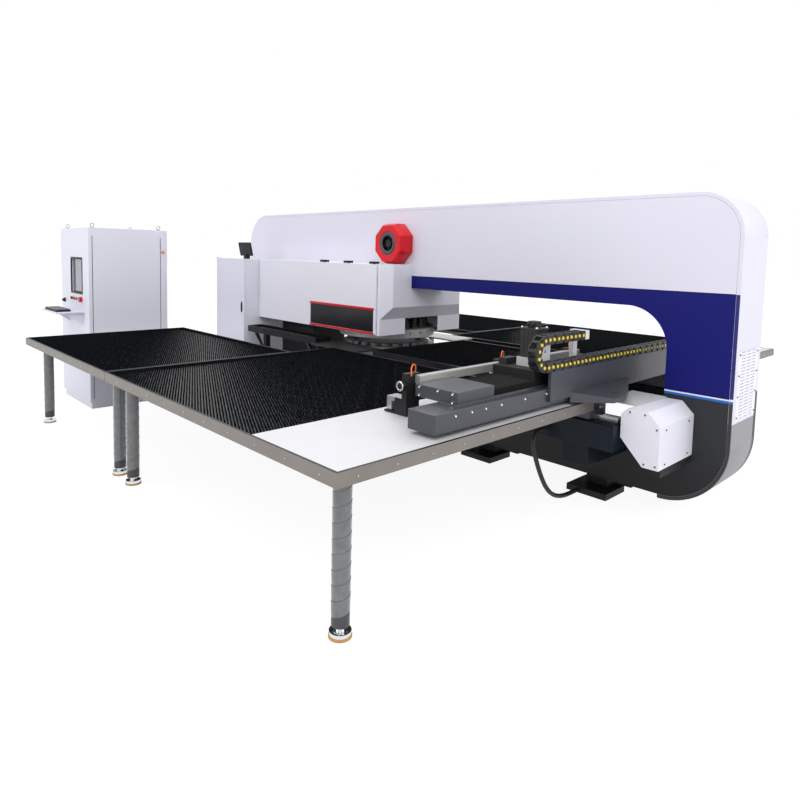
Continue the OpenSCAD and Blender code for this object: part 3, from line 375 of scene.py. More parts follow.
    made["screen"] = finish("screen_glass", (0.10, 0.13, 0.17), 0.15, coat=0.8, cloud=(9, 0.8))
    made["green"] = finish("green_cap", (0.02, 0.30, 0.06), 0.3, cloud=(40, 0.2))
    made["lamp"] = finish("orange_lamp", (0.80, 0.20, 0.02), 0.2, coat=0.5, cloud=(40, 0.2))


# Finish of each node that is carried over
NODE_FINISH = {
    "white": ["upper_cladding"],
    "rim": ["edge_cover"],
    "guard": ["vent_panel", "guard_shells", "guard_door", "y_motor_cover"],
    "blue": ["blue_cladding"],
    "grey": ["lower_cladding"],
    "steel_grey": ["o_frame", "frame_feet", "motor_bracket"],
    "cabinet": [
        "side_cabinet", "side_door", "control_cabinet", "control_door", "control_panel", "keyboard_tray"],
    "red": ["servo_cover", "button_red", "stop_button"],
    "black": ["servo_fan", "guard_screen", "keyboard", "button_black", "clamp_bodies"],
    "steel": ["ram", "ram_housing", "turret_shafts", "y_rails", "ball_screw", "lifting_eyes"],
    "turret": ["upper_turret", "lower_turret", "die_set"],
    "motor": ["carriage_motor"],
    "slide": ["carriage"],
    "chrome": ["leg_feet"],
    "canister": ["punch_tools"],
    "edge": ["table_frames"],
    "bar": ["clamp_bar"],
    "sheet": ["plain_plates"],
    "bristle": ["side_brushes", "centre_brushes"],
    "leg": ["table_legs"],
    "ring": ["foot_rings"],
    "bed": ["y_bed"],
    "beam": ["beam_box", "chain_tray", "saddle"],
    "cloth": ["way_cover"],
    "rubber": ["chain_lower", "chain_bend", "chain_upper", "conduit"],
    "orange": ["air_hoses"],
    "jaw": ["clamp_jaw_1", "clamp_jaw_2", "clamp_jaw_3"],
    "tint": ["guard_window"],
    "screen": ["control_screen"],
    "green": ["button_green"],
}
# Nodes whose sharp edges are rounded, by the width of the round
SOFT_EDGES = {
    0.002: ["chain_tray", "carriage", "clamp_bar"],
    0.003: ["saddle", "keyboard_tray", "guard_screen"],
    0.004: [
        "guard_shells", "guard_door", "side_cabinet", "side_door", "beam_box", "carriage_motor", "y_bed",
        "frame_feet"],
    0.005: ["control_cabinet", "control_door", "y_motor_cover", "edge_cover"],
    0.006: ["servo_cover"],
}
# Edges that bend more than this are sharp
SHARP = math.radians(35)


def soften(obj, width):
    """Rounds the sharp edges of a CAD node with modifiers and leaves its mesh alone."""
    weld = obj.modifiers.new("weld", "WELD")
    weld.merge_threshold = WELD
    flat = obj.modifiers.new("flat", "DECIMATE")
    flat.decimate_type = "DISSOLVE"
    flat.angle_limit = math.radians(1)
    round_off = obj.modifiers.new("round", "BEVEL")
    round_off.width = width
    round_off.segments = 2
    round_off.limit_method = "ANGLE"
    round_off.angle_limit = SHARP


# Shared shapes


def put_box(bm, low, high, bevel=0.0):
    """A box between two corners, with rounded edges where bevel is more than nothing."""
    low, high = Vector(low), Vector(high)
    verts = bmesh.ops.create_cube(bm, size=1.0)["verts"]
    bmesh.ops.scale(bm, vec=high - low, verts=verts)
    bmesh.ops.translate(bm, vec=(low + high) / 2, verts=verts)
    if bevel > 0:
        edges = list({e for v in verts for e in v.link_edges})
        bmesh.ops.bevel(
            bm, geom=edges, offset=bevel, segments=2, profile=0.5, affect="EDGES", material=-1)
    return verts


def put_rod(bm, start, end, radius, tip=None, segments=16):
    """A round rod, or a cone where the tip's radius differs."""
    start, end = Vector(start), Vector(end)
    along = end - start
    verts = bmesh.ops.create_cone(
        bm, cap_ends=True, segments=segments, radius1=radius, radius2=radius if tip is None else tip,
        depth=along.length)["verts"]
    turn = Vector((0, 0, 1)).rotation_difference(along).to_matrix().to_4x4()
    bmesh.ops.transform(bm, matrix=Matrix.Translation((start + end) / 2) @ turn, verts=verts)
    return verts


def put_piece(name, bm, material, body, replaced=(), smooth=True):
    """Makes a bmesh an object that rides on a body and takes its finish from a slot."""
    bmesh.ops.recalc_face_normals(bm, faces=bm.faces)
    mesh = bpy.data.meshes.new(name)
    bm.to_mesh(mesh)
    bm.free()
    obj = bpy.data.objects.new(name, mesh)
    bpy.context.scene.collection.objects.link(obj)
    mesh.materials.append(FINISHES[material])
    if smooth:
        mesh.shade_smooth()
        mesh.set_sharp_from_angle(angle=SHARP)
    if body:
        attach(obj, body)
    if replaced:
        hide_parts(*replaced)
    return obj


class PRESS_OT_paint(bpy.types.Operator):
    """Gives every carried-over node its finish and soft edges"""
    bl_idname = "press.paint"
    bl_label = "Paint the nodes"

    def execute(self, context):
        mix_finishes()
        for name, nodes in NODE_FINISH.items():
            for node in nodes:
                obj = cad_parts[node]
                obj.data.materials.clear()
                obj.data.materials.append(FINISHES[name])
        for width, nodes in SOFT_EDGES.items():
            for node in nodes:
                soften(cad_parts[node], width)
        return {"FINISHED"}


# Places taken from the frame


def solids(node):
    """Boxes of a node's separate solids, as (lowest corner, highest corner), from low X and Y to high."""
    bm = bmesh.new()
    bm.from_mesh(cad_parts[node].data)
    bmesh.ops.remove_doubles(bm, verts=bm.verts, dist=WELD)
    left, found = set(bm.verts), []
    while left:
        front = [left.pop()]
        low, high = front[0].co.copy(), front[0].co.copy()
        while front:
            vert = front.pop()
            low = Vector(map(min, low, vert.co))
            high = Vector(map(max, high, vert.co))
            near = {e.other_vert(vert) for e in vert.link_edges} & left
            left -= near
            front.extend(near)
        found.append((low, high))
    bm.free()
    return sorted(found, key=lambda box: (round(box[0].x, 3), round(box[0].y, 3)))


# A screw head's height, the radius of its top, the rim round its socket and the socket's depth, as shares
# of its width
HEAD_RISE = 0.4
HEAD_TOP = 0.42
SOCKET_RIM = 0.16
SOCKET_DEPTH = 0.2


def put_screw(bm, place, outward, width):
    """A round screw head with a socket, standing on a face at place."""
    outward = Vector(outward).normalized()
    end = Vector(place) + outward * width * HEAD_RISE
    verts = put_rod(bm, place, end, width / 2, width * HEAD_TOP, segments=12)
    faces = list({f for v in verts for f in v.link_faces})
    top = max(faces, key=lambda f: f.calc_center_median().dot(outward) + 1e-6 * len(f.verts))
    bmesh.ops.inset_individual(bm, faces=[top], thickness=width * SOCKET_RIM)
    bmesh.ops.translate(bm, vec=-outward * width * SOCKET_DEPTH, verts=top.verts)


class PRESS_OT_brushes(bpy.types.Operator):
    """Fills the table tops with brush tufts on base strips"""
    bl_idname = "press.brushes"
    bl_label = "Brush tables"

    def execute(self, context):
        base = bmesh.new()
        for node in ("side_brushes", "centre_brushes"):
            for count, (low, high) in enumerate(solids(node), 1):
                base_top = high.z - sizes().tuft_height
                put_box(base, low, (high.x, high.y, base_top))
                put_tufts(f"{node}_tufts_{count}", node, low, high, base_top)
        put_piece("brush_bases", base, "base_strip", "frame", smooth=False)
        return {"FINISHED"}


# Tufts along one side of the patch that is repeated, and bristle bundles in one tuft
PATCH = 8
BUNDLES = 3
# How far the tufts reach out over the tables' edge profiles, and up past their tops
OVER_EDGE = 0.015
OVER_TOP = 0.003
# How far a tuft stands off its place, its bundles from its middle, and their tips outward and downward
TUFT_STRAY = 0.001
BUNDLE_OUT = 0.002
TIP_OUT = (0.002, 0.005)
TIP_DROP = 0.002
BUNDLE_RADIUS = 0.0030


def put_tufts(name, node, low, high, base_top):
    """One patch of splayed tufts in staggered rows, repeated over a mat by two arrays."""
    chance = random.Random(len(name) * 31 + ord(name[-1]))
    low = low - Vector((OVER_EDGE, 0 if touches_sheet(low) else OVER_EDGE, 0))
    high = high + Vector((OVER_EDGE, OVER_EDGE, OVER_TOP))
    size = high - low
    repeats = [max(1, round(size[k] / (PATCH * sizes().tuft_pitch))) for k in (0, 1)]
    step = [size[k] / repeats[k] / PATCH for k in (0, 1)]
    bm = bmesh.new()
    for i in range(PATCH):
        for j in range(PATCH):
            foot = Vector((
                low.x + (i + 0.25 + 0.5 * (j % 2)) * step[0], low.y + (j + 0.5) * step[1], base_top))
            foot += Vector((chance.uniform(-1, 1), chance.uniform(-1, 1), 0)) * TUFT_STRAY
            for k in range(BUNDLES):
                angle = (k + chance.random()) * math.tau / BUNDLES
                splay = Vector((math.cos(angle), math.sin(angle), 0))
                tip = foot + splay * chance.uniform(*TIP_OUT)
                tip.z = high.z - chance.uniform(0, TIP_DROP)
                put_bristle(bm, foot + splay * BUNDLE_OUT, tip)
    obj = put_piece(name, bm, "bristle", "frame", (node,))
    for axis in (0, 1):
        rows = obj.modifiers.new("rows" if axis else "columns", "ARRAY")
        rows.count = repeats[axis]
        rows.use_relative_offset = False
        rows.use_constant_offset = True
        rows.constant_offset_displace = [step[axis] * PATCH if k == axis else 0 for k in range(3)]


def touches_sheet(low):
    """Whether a mat's near end lies against the plain sheet, which the tufts leave free."""
    near = [box[1].y for box in solids("plain_plates") if box[1].y < low.y]
    return bool(near) and low.y - max(near) < CLOSE


def put_bristle(bm, foot, tip):
    """A slim bundle of bristles with three sides and a point."""
    along = tip - foot
    verts = bmesh.ops.create_cone(
        bm, cap_ends=False, segments=3, radius1=BUNDLE_RADIUS, radius2=0, depth=along.length)["verts"]
    turn = Vector((0, 0, 1)).rotation_difference(along).to_matrix().to_4x4()
    bmesh.ops.transform(bm, matrix=Matrix.Translation((foot + tip) / 2) @ turn, verts=verts)


class PRESS_OT_cords(bpy.types.Operator):
    """Lays the black conduit at the bed and the orange air hoses of the clamps"""
    bl_idname = "press.cords"
    bl_label = "Conduit and hoses"

    def execute(self, context):
        route = [Vector((x * MM, CONDUIT_Y * MM - MID_Y, z * MM)) for x, z in CONDUIT_ROUTE]
        put_cord("conduit_hose", route, CONDUIT_D, "rubber", "frame", "conduit")
        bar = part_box("clamp_bar")[1]
        for count in (1, 2, 3):
            low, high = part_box(f"clamp_jaw_{count}")
            route = hose_route((low.x + high.x) / 2, bar.y, bar.z)
            put_cord(
                f"air_hose_{count}", route, HOSE_D, "orange", "carriage", "air_hoses")
        return {"FINISHED"}


# The conduit's route in millimetres, as X and height, at one place along the bridge
CONDUIT_Y = -2250
CONDUIT_ROUTE = (
    (-880.3, 620), (-930, 620), (-975, 606), (-1005, 570), (-1014, 520), (-1002, 465), (-975, 400),
    (-935, 320), (-885, 235), (-825, 155), (-750, 90), (-660, 48), (-560, 28), (-460, 24), (-410, 24),
    (-365.3, 24))
CONDUIT_D = 0.034
# An air hose, half the length and half the width of its loop in plan, and its steps
HOSE_D = 0.008
HOSE_HALF = 0.036
HOSE_ACROSS = 0.020
HOSE_STEPS = 9
# Height of the loop's start over the bar, its height as a share of its half length, and its end's height
HOSE_STAND = 0.016
HOSE_ARCH = 1.3
HOSE_SEAT = 0.010


def hose_route(x, y, z):
    """A loop over a clamp, from the top of the bar to the top of the clamp."""
    route = [Vector((x - HOSE_HALF, y - HOSE_ACROSS, z))]
    for step in range(HOSE_STEPS + 1):
        angle = math.pi * step / HOSE_STEPS
        route.append(Vector((
            x - HOSE_HALF * math.cos(angle), y - HOSE_ACROSS + 2 * HOSE_ACROSS * step / HOSE_STEPS,
            z + HOSE_STAND + HOSE_ARCH * HOSE_HALF * math.sin(angle))))
    route.append(Vector((x + HOSE_HALF, y + HOSE_ACROSS, z + HOSE_SEAT)))
    return route


def put_cord(name, route, diameter, material, body, node):
    """A round cord through the points of its route."""
    curve = bpy.data.curves.new(name, "CURVE")
    curve.dimensions = "3D"
    curve.bevel_depth = diameter / 2
    curve.bevel_resolution = 4
    curve.resolution_u = 6
    curve.use_fill_caps = True
    spline = curve.splines.new("BEZIER")
    spline.bezier_points.add(len(route) - 1)
    for point, place in zip(spline.bezier_points, route):
        point.co = place
        point.handle_left_type = point.handle_right_type = "AUTO"
    obj = bpy.data.objects.new(name, curve)
    bpy.context.scene.collection.objects.link(obj)
    curve.materials.append(FINISHES[material])
    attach(obj, body)
    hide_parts(node)


class PRESS_OT_way_covers(bpy.types.Operator):
    """Makes the pleated covers on both sides of the carriage"""
    bl_idname = "press.way_covers"
    bl_label = "Way covers"

    def execute(self, context):
        for side, (low, high) in zip(("front", "back"), solids("way_cover")):
            bm = bmesh.new()
            put_pleats(bm, low, high)
            obj = put_piece(
                f"way_cover_{side}", bm, "cloth", None, ("way_cover",), smooth=False)
            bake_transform(obj)
        return {"FINISHED"}


PLEAT_DEPTH = 0.010


def put_pleats(bm, low, high):
    """A pleated tunnel along X: an open ring that is drawn along and pulled in at each second fold."""
    count = 2 * round((high.x - low.x) / sizes().fold_pitch)
    stride = (high.x - low.x) / count

    def ring(x, inset):
        """Corners of the tunnel at one place along X."""
        return [
            Vector((x, low.y + inset, low.z)), Vector((x, low.y + inset, high.z - inset)),
            Vector((x, high.y - inset, high.z - inset)), Vector((x, high.y - inset, low.z))]

    verts = [bm.verts.new(p) for p in ring(low.x, 0)]
    bm.faces.new(verts)
    edges = [bm.edges.get((verts[k - 1], verts[k])) for k in range(4)]
    for k in range(1, count + 1):
        made = bmesh.ops.extrude_edge_only(bm, edges=edges)["geom"]
        edges = [g for g in made if isinstance(g, bmesh.types.BMEdge)]
        places = ring(low.x + k * stride, PLEAT_DEPTH * (k % 2))
        before = ring(low.x + (k - 1) * stride, PLEAT_DEPTH * ((k - 1) % 2))
        for vert in (g for g in made if isinstance(g, bmesh.types.BMVert)):
            vert.co = places[min(range(4), key=lambda n: (before[n] - vert.co).length)]
    bmesh.ops.contextual_create(bm, geom=edges)


class PRESS_OT_chain(bpy.types.Operator):
    """Puts the cable chain's links and yellow dots on the beam"""
    bl_idname = "press.chain"
    bl_label = "Cable chain"

    def execute(self, context):
        lower, upper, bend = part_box("chain_lower"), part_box("chain_upper"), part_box("chain_bend")
        run = upper[1].x - upper[0].x
        fixed, rolled = Vector((lower[1].x, lower[0].y, lower[0].z)), Vector(lower[0])
        drawn, tail = Vector(upper[1]), Vector((upper[0].x - run, upper[1].y, upper[1].z))
        for name, node, box, bodies, ends in (
            ("lower", "chain_lower", lower, ("beam", "chain_bend"), (fixed, rolled)),
            ("upper", "chain_upper", upper, ("beam", "carriage"), (tail, drawn)),
        ):
            links = bmesh.new()
            links.from_mesh(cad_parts[node].data)
            bmesh.ops.remove_doubles(links, verts=links.verts, dist=WELD)
            dots = bmesh.new()
            count = math.floor((box[1].x - box[0].x) / sizes().link_length + 0.001)
            for k in range(count):
                x = box[0].x + (k + 0.5) * (box[1].x - box[0].x) / count
                put_dot(dots, (x, box[0].y, (box[0].z + box[1].z) / 2))
            for piece in (
                put_piece(f"chain_links_{name}", links, "chain", None, (node,), smooth=False),
                put_piece(f"chain_dots_{name}", dots, "yellow", None),
            ):
                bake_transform(piece)
        dots = bmesh.new()
        centre = Vector((bend[1].x, bend[0].y, (bend[0].z + bend[1].z) / 2))
        radius = (bend[1].z - bend[0].z) / 2 - (lower[1].z - lower[0].z) / 2
        for k in range(BEND_LINKS):
            angle = math.pi * (0.5 + (k + 0.5) / BEND_LINKS)
            put_dot(dots, centre + Vector((radius * math.cos(angle), 0, radius * math.sin(angle))))
        put_piece("chain_dots_bend", dots, "yellow", "chain_bend")
        return {"FINISHED"}


BEND_LINKS = 6
# Length of a plug, which reaches through to the links whose side plates lie further in, and its other sizes
DOT_LENGTH = 0.010
DOT_PROUD = 0.002
DOT_RADIUS = 0.0115
DOT_TIP = 0.0105


def put_dot(bm, place):
    """A yellow plug in the near side of a link."""
    outer = Vector(place) - Vector((0, DOT_PROUD, 0))
    put_rod(bm, outer + Vector((0, DOT_LENGTH, 0)), outer, DOT_RADIUS, DOT_TIP)


class PRESS_OT_screw(bpy.types.Operator):
    """Cuts the ball screw's thread"""
    bl_idname = "press.screw"
    bl_label = "Ball screw"

    def execute(self, context):
        low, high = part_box("ball_screw")
        centre = (low + high) / 2
        radius = (high.x - low.x) / 2
        core = radius - THREAD_DEPTH
        bm = bmesh.new()
        put_rod(bm, (centre.x, low.y, centre.z), (centre.x, high.y, centre.z), core, segments=20)
        profile = [
            bm.verts.new((centre.x + reach, low.y + PLAIN_END + along * THREAD_PITCH, centre.z))
            for reach, along in ((core, 0), (radius, 0.15), (radius, 0.55), (core, 0.7))]
        edges = [bm.edges.new(pair) for pair in zip(profile, profile[1:])]
        turns = math.floor((high.y - low.y - 2 * PLAIN_END) / THREAD_PITCH)
        bmesh.ops.spin(
            bm, geom=[*profile, *edges], cent=(centre.x, low.y + PLAIN_END, centre.z), axis=(0, 1, 0),
            dvec=(0, THREAD_PITCH / TURN_STEPS, 0), angle=math.tau * turns, steps=TURN_STEPS * turns)
        put_piece("screw_thread", bm, "steel", "ball_screw", ("ball_screw",))
        return {"FINISHED"}


# The ball screw's thread, the plain length at each end, and the steps in one of its turns
THREAD_PITCH = 0.020
THREAD_DEPTH = 0.004
PLAIN_END = 0.06
TURN_STEPS = 16


class PRESS_OT_legs(bpy.types.Operator):
    """Wraps the table legs in film and puts lock nuts on their feet"""
    bl_idname = "press.legs"
    bl_label = "Leg film and nuts"

    def execute(self, context):
        film, nuts = bmesh.new(), bmesh.new()
        for low, high in solids("table_legs"):
            centre = (low + high) / 2
            radius = (high.x - low.x) / 2
            start = low.z + BARE_FOOT
            turns = sizes().film_turns
            lift = (high.z - low.z - BARE_LEG) / (turns + 1)
            ribbon = [
                film.verts.new((centre.x + radius + proud, centre.y, start + along * lift))
                for proud, along in FILM_RIBBON]
            edges = [film.edges.new(pair) for pair in zip(ribbon, ribbon[1:])]
            bmesh.ops.spin(
                film, geom=[*ribbon, *edges], cent=(centre.x, centre.y, start), axis=(0, 0, 1),
                dvec=(0, 0, lift / FILM_STEPS), angle=math.tau * turns, steps=FILM_STEPS * turns)
            foot = Vector((centre.x, centre.y, low.z))
            put_rod(nuts, foot - Vector((0, 0, NUT_HEIGHT)), foot, NUT_RADIUS, segments=6)
        put_piece("leg_film", film, "film", "frame")
        put_piece("leg_nuts", nuts, "chrome", "frame")
        return {"FINISHED"}


# Length of leg that the film leaves bare at its foot and in all
BARE_FOOT = 0.012
BARE_LEG = 0.03
# Distance of the film's ribbon from the leg, at shares of one turn's rise, and the steps in a turn
FILM_RIBBON = ((0.0006, 0), (0.0018, 0.5), (0.0026, 1.05))
FILM_STEPS = 20
NUT_HEIGHT = 0.016
NUT_RADIUS = 0.030


class PRESS_OT_fasteners(bpy.types.Operator):
    """Sets the cover screws of the beam, the motor cover, the vent panel and the tables"""
    bl_idname = "press.fasteners"
    bl_label = "Cover screws"

    def execute(self, context):
        width = sizes().bolt_width
        beam = bmesh.new()
        low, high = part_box("beam_box")
        for x in BEAM_SCREWS:
            for side in (-1, 1):
                put_screw(beam, (side * x, low.y, low.z + BEAM_SCREW_RISE), (0, -1, 0), width)
        for y, z in END_BOX_SCREWS:
            for side in (-1, 1):
                put_screw(beam, (side * END_BOX_X, low.y + y, low.z + z), (side, 0, 0), width)
        put_piece("beam_screws", beam, "chrome", "beam")

        dark = bmesh.new()
        small = width * SMALL_SCREW
        low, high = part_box("y_motor_cover")
        for y, z in MOTOR_FACE_SCREWS:
            put_screw(dark, (low.x, high.y + y, high.z + z), (-1, 0, 0), small)
        for x, z in MOTOR_SIDE_SCREWS:
            put_screw(dark, (low.x + x, low.y, low.z + z), (0, -1, 0), small)
        low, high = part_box("vent_panel")
        for x in (low.x + VENT_SCREW_IN, high.x - VENT_SCREW_IN):
            for share in VENT_SCREW_SHARES:
                put_screw(dark, (x, low.y, low.z + share * (high.z - low.z)), (0, -1, 0), small)
        put_piece("cover_screws", dark, "dark_steel", "frame")

        edge = bmesh.new()
        tiny = width * TINY_SCREW
        low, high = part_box("table_frames")
        run = high.y - low.y - 2 * EDGE_SCREW_IN
        for side in (-1, 1):
            for k in range(NEAR_EDGE_SCREWS):
                x = side * (-high.x + EDGE_SCREW_IN + k * NEAR_EDGE_PITCH)
                put_screw(edge, (x, low.y, EDGE_SCREW_Z), (0, -1, 0), tiny)
            for k in range(LONG_EDGE_SCREWS):
                y = low.y + EDGE_SCREW_IN + k * run / (LONG_EDGE_SCREWS - 1)
                put_screw(edge, (side * high.x, y, EDGE_SCREW_Z), (side, 0, 0), tiny)
        put_piece("edge_screws", edge, "steel", "frame")
        return {"FINISHED"}


# Widths of the smaller screws as shares of the beam's
SMALL_SCREW = 0.8
TINY_SCREW = 0.6
# The beam's cover screws: X from the middle, and height over the beam's foot
BEAM_SCREWS = (0.264, 0.488, 0.956, 1.183, 1.418, 1.648, 1.881, 2.024, 2.146, 2.283)
BEAM_SCREW_RISE = 0.083
# X of the end boxes' outer faces, and their screws as Y and height from the beam's low near edge
END_BOX_X = 2.200
END_BOX_SCREWS = ((0.09, 0.172), (0.20, 0.172), (0.345, 0.172), (0.09, 0.125), (0.345, 0.125))
# The motor cover's screws: Y and height from its top far edge, then X and height from its low front edge
MOTOR_FACE_SCREWS = ((-0.062, -0.022), (-0.165, -0.022), (-0.248, -0.105), (-0.248, -0.35), (-0.172, -0.352))
MOTOR_SIDE_SCREWS = ((0.09, 0.03), (0.09, 0.26), (0.46, 0.03), (0.46, 0.26))
# The vent panel's screws: distance from its sides, and shares of its height
VENT_SCREW_IN = 0.02
VENT_SCREW_SHARES = (0.05, 0.35, 0.65, 0.95)
# The tables' edge screws: height, distance from the corners, and number along the near and long edges
EDGE_SCREW_Z = 0.864
EDGE_SCREW_IN = 0.12
NEAR_EDGE_PITCH = 0.245
NEAR_EDGE_SCREWS = 9
LONG_EDGE_SCREWS = 19


class PRESS_OT_guard_trim(bpy.types.Operator):
    """Adds the guard's red strips and hinge caps, its cabinet's handle and the ring of the servo's fan"""
    bl_idname = "press.guard_trim"
    bl_label = "Guard trim"

    def execute(self, context):
        low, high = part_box("guard_window")
        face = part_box("guard_door")[0].x
        strips = bmesh.new()
        for bottom, top in ((high.z, high.z + UPPER_STRIP), (low.z - LOWER_STRIP, low.z)):
            put_box(
                strips, (face - STRIP_PROUD, low.y - STRIP_OVER, bottom),
                (face + SUNK, high.y + STRIP_OVER, top), STRIP_ROUND)
        put_piece("guard_strips", strips, "red", "guard_door")

        caps = bmesh.new()
        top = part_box("guard_shells")[1].z
        for y in HINGE_YS:
            put_box(
                caps, (HINGE_X[0], y - HINGE_HALF, top - HINGE_DEPTH),
                (HINGE_X[1], y + HINGE_HALF, top + HINGE_PROUD), TRIM_ROUND)
        put_piece("hinge_caps", caps, "black", "frame")

        low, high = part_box("side_door")
        handle = bmesh.new()
        for out, inward, half, half_height in HANDLE_BOXES:
            put_box(
                handle, (low.x - out, low.y + HANDLE_Y - half, HANDLE_Z - half_height),
                (low.x + inward, low.y + HANDLE_Y + half, HANDLE_Z + half_height), TRIM_ROUND)
        put_piece("cabinet_handle", handle, "black", "side_door")

        low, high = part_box("servo_fan")
        centre = Vector((low.x, (low.y + high.y) / 2, (low.z + high.z) / 2))
        ring = bmesh.new()
        put_ring(ring, centre, (high.y - low.y) / 2 - RING_HALF, RING_HALF)
        bmesh.ops.scale(ring, vec=(RING_FLAT, 1, 1), space=Matrix.Translation(-centre), verts=ring.verts)
        put_piece("servo_ring", ring, "beam", "frame")
        return {"FINISHED"}


# How far trim is sunk in what it sits on, and the round of its edges
SUNK = 0.001
TRIM_ROUND = 0.004
# The red strips over and under the window
UPPER_STRIP = 0.024
LOWER_STRIP = 0.022
STRIP_PROUD = 0.0015
STRIP_OVER = 0.01
STRIP_ROUND = 0.0006
# The hinge caps along the guard's top
HINGE_X = (-0.631, -0.566)
HINGE_HALF = 0.044
HINGE_DEPTH = 0.020
HINGE_PROUD = 0.004
HINGE_YS = [y * MM - MID_Y for y in (-10, 405, 820)]
# The cabinet handle's place from the door's edge, its height, and its plate and grip: reach out of the door
# and into it, half width and half height
HANDLE_Y = 0.056
HANDLE_Z = 1.160
HANDLE_BOXES = ((SUNK, 0.012, 0.020, 0.067), (0.010, 0.002, 0.010, 0.045))
# Half the width of the ring round the servo's fan, and its thickness as a share of that
RING_HALF = 0.020
RING_FLAT = 0.35


class PRESS_OT_control_trim(bpy.types.Operator):
    """Adds keys, the screen's frame, knobs, the lamp and dark seams to the control cabinet"""
    bl_idname = "press.control_trim"
    bl_label = "Control trim"

    def execute(self, context):
        low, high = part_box("keyboard")
        keys = bmesh.new()
        for i in range(KEY_ROWS):
            for j in range(KEY_COLUMNS):
                x = low.x + KEYS_IN.x + i * (high.x - low.x - 2 * KEYS_IN.x) / (KEY_ROWS - 1)
                y = low.y + KEYS_IN.y + j * (high.y - low.y - 2 * KEYS_IN.y) / (KEY_COLUMNS - 1)
                middle = Vector((x, y, high.z))
                verts = put_box(keys, middle - KEY_HALF, middle + KEY_HALF + Vector((0, 0, KEY_HEIGHT)))
                bmesh.ops.scale(
                    keys, vec=(KEY_TAPER, KEY_TAPER, 1), space=Matrix.Translation((-x, -y, 0)),
                    verts=[v for v in verts if v.co.z > high.z + KEY_HEIGHT / 2])
        put_piece("keys", keys, "key", "frame", smooth=False)

        low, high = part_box("control_screen")
        rim = bmesh.new()
        front = low.x - RIM_FRONT
        outer_low, outer_high = low.yz - Vector((RIM_OUT, RIM_OUT)), high.yz + Vector((RIM_OUT, RIM_OUT))
        inner_low, inner_high = low.yz + Vector((RIM_IN, RIM_IN)), high.yz - Vector((RIM_IN, RIM_IN))
        for a, b in (
            (outer_low, (outer_high.x, inner_low.y)), ((outer_low.x, inner_high.y), outer_high),
            ((outer_low.x, low.z), (inner_low.x, high.z)), ((inner_high.x, low.z), (outer_high.x, high.z)),
        ):
            put_box(rim, (front, *a), (front + RIM_DEPTH, *b), RIM_ROUND)
        put_piece("screen_frame", rim, "black", "frame")

        low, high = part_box("control_cabinet")
        front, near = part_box("control_panel")[0].x, low.y
        knobs = bmesh.new()
        for inward, z in KNOBS:
            y = high.y - inward
            collar = front - COLLAR
            put_rod(knobs, (front, y, z), (collar, y, z), COLLAR_RADIUS, segments=24)
            put_rod(knobs, (collar, y, z), (collar - KNOB, y, z), KNOB_RADIUS, KNOB_TIP, segments=24)
        put_piece("cabinet_knobs", knobs, "black", "frame")
        lamp = bmesh.new()
        back = front + LAMP_BACK
        dome = Vector((back, near - COLLAR, LAMP_Z))
        put_rod(lamp, (back, near + SUNK, LAMP_Z), dome, LAMP_RADIUS, segments=24)
        bmesh.ops.create_uvsphere(
            lamp, u_segments=20, v_segments=10, radius=DOME_RADIUS, matrix=Matrix.Translation(dome))
        put_piece("cabinet_lamp", lamp, "lamp", "frame")
        seams = bmesh.new()
        for x in (front + FRONT_SEAM, back - BACK_SEAM):
            put_box(
                seams, (x - SEAM_HALF, near - SEAM_PROUD, SEAM_LOW),
                (x + SEAM_HALF, near + SUNK, high.z - SEAM_DROP))
        put_piece("cabinet_seams", seams, "black", "frame", smooth=False)
        return {"FINISHED"}


# The keyboard's keys, their rows' distance from its edges, and their taper to the top
KEY_ROWS = 5
KEY_COLUMNS = 15
KEYS_IN = Vector((0.016, 0.020))
KEY_HALF = Vector((0.011, 0.012, 0))
KEY_HEIGHT = 0.007
KEY_TAPER = 0.8
# The screen's frame: its front before the screen, its depth, and its reach past and over the screen's edges
RIM_FRONT = 0.024
RIM_DEPTH = 0.012
RIM_OUT = 0.02
RIM_IN = 0.004
RIM_ROUND = 0.002
# The knobs: distance from the cabinet's far side and height, then their collars and grips
KNOBS = ((0.13, 1.207), (0.18, 1.038))
COLLAR = 0.012
COLLAR_RADIUS = 0.026
KNOB = 0.022
KNOB_RADIUS = 0.018
KNOB_TIP = 0.015
# The lamp on the near side: distance from the front, height, and the radius of its socket and its dome
LAMP_BACK = 0.85
LAMP_Z = 1.823
LAMP_RADIUS = 0.016
DOME_RADIUS = 0.013
# The dark seams on the near side: distance from the front and from the lamp, and their size
FRONT_SEAM = 0.04
BACK_SEAM = 0.03
SEAM_HALF = 0.003
SEAM_PROUD = 0.0012
SEAM_LOW = 0.12
SEAM_DROP = 0.10


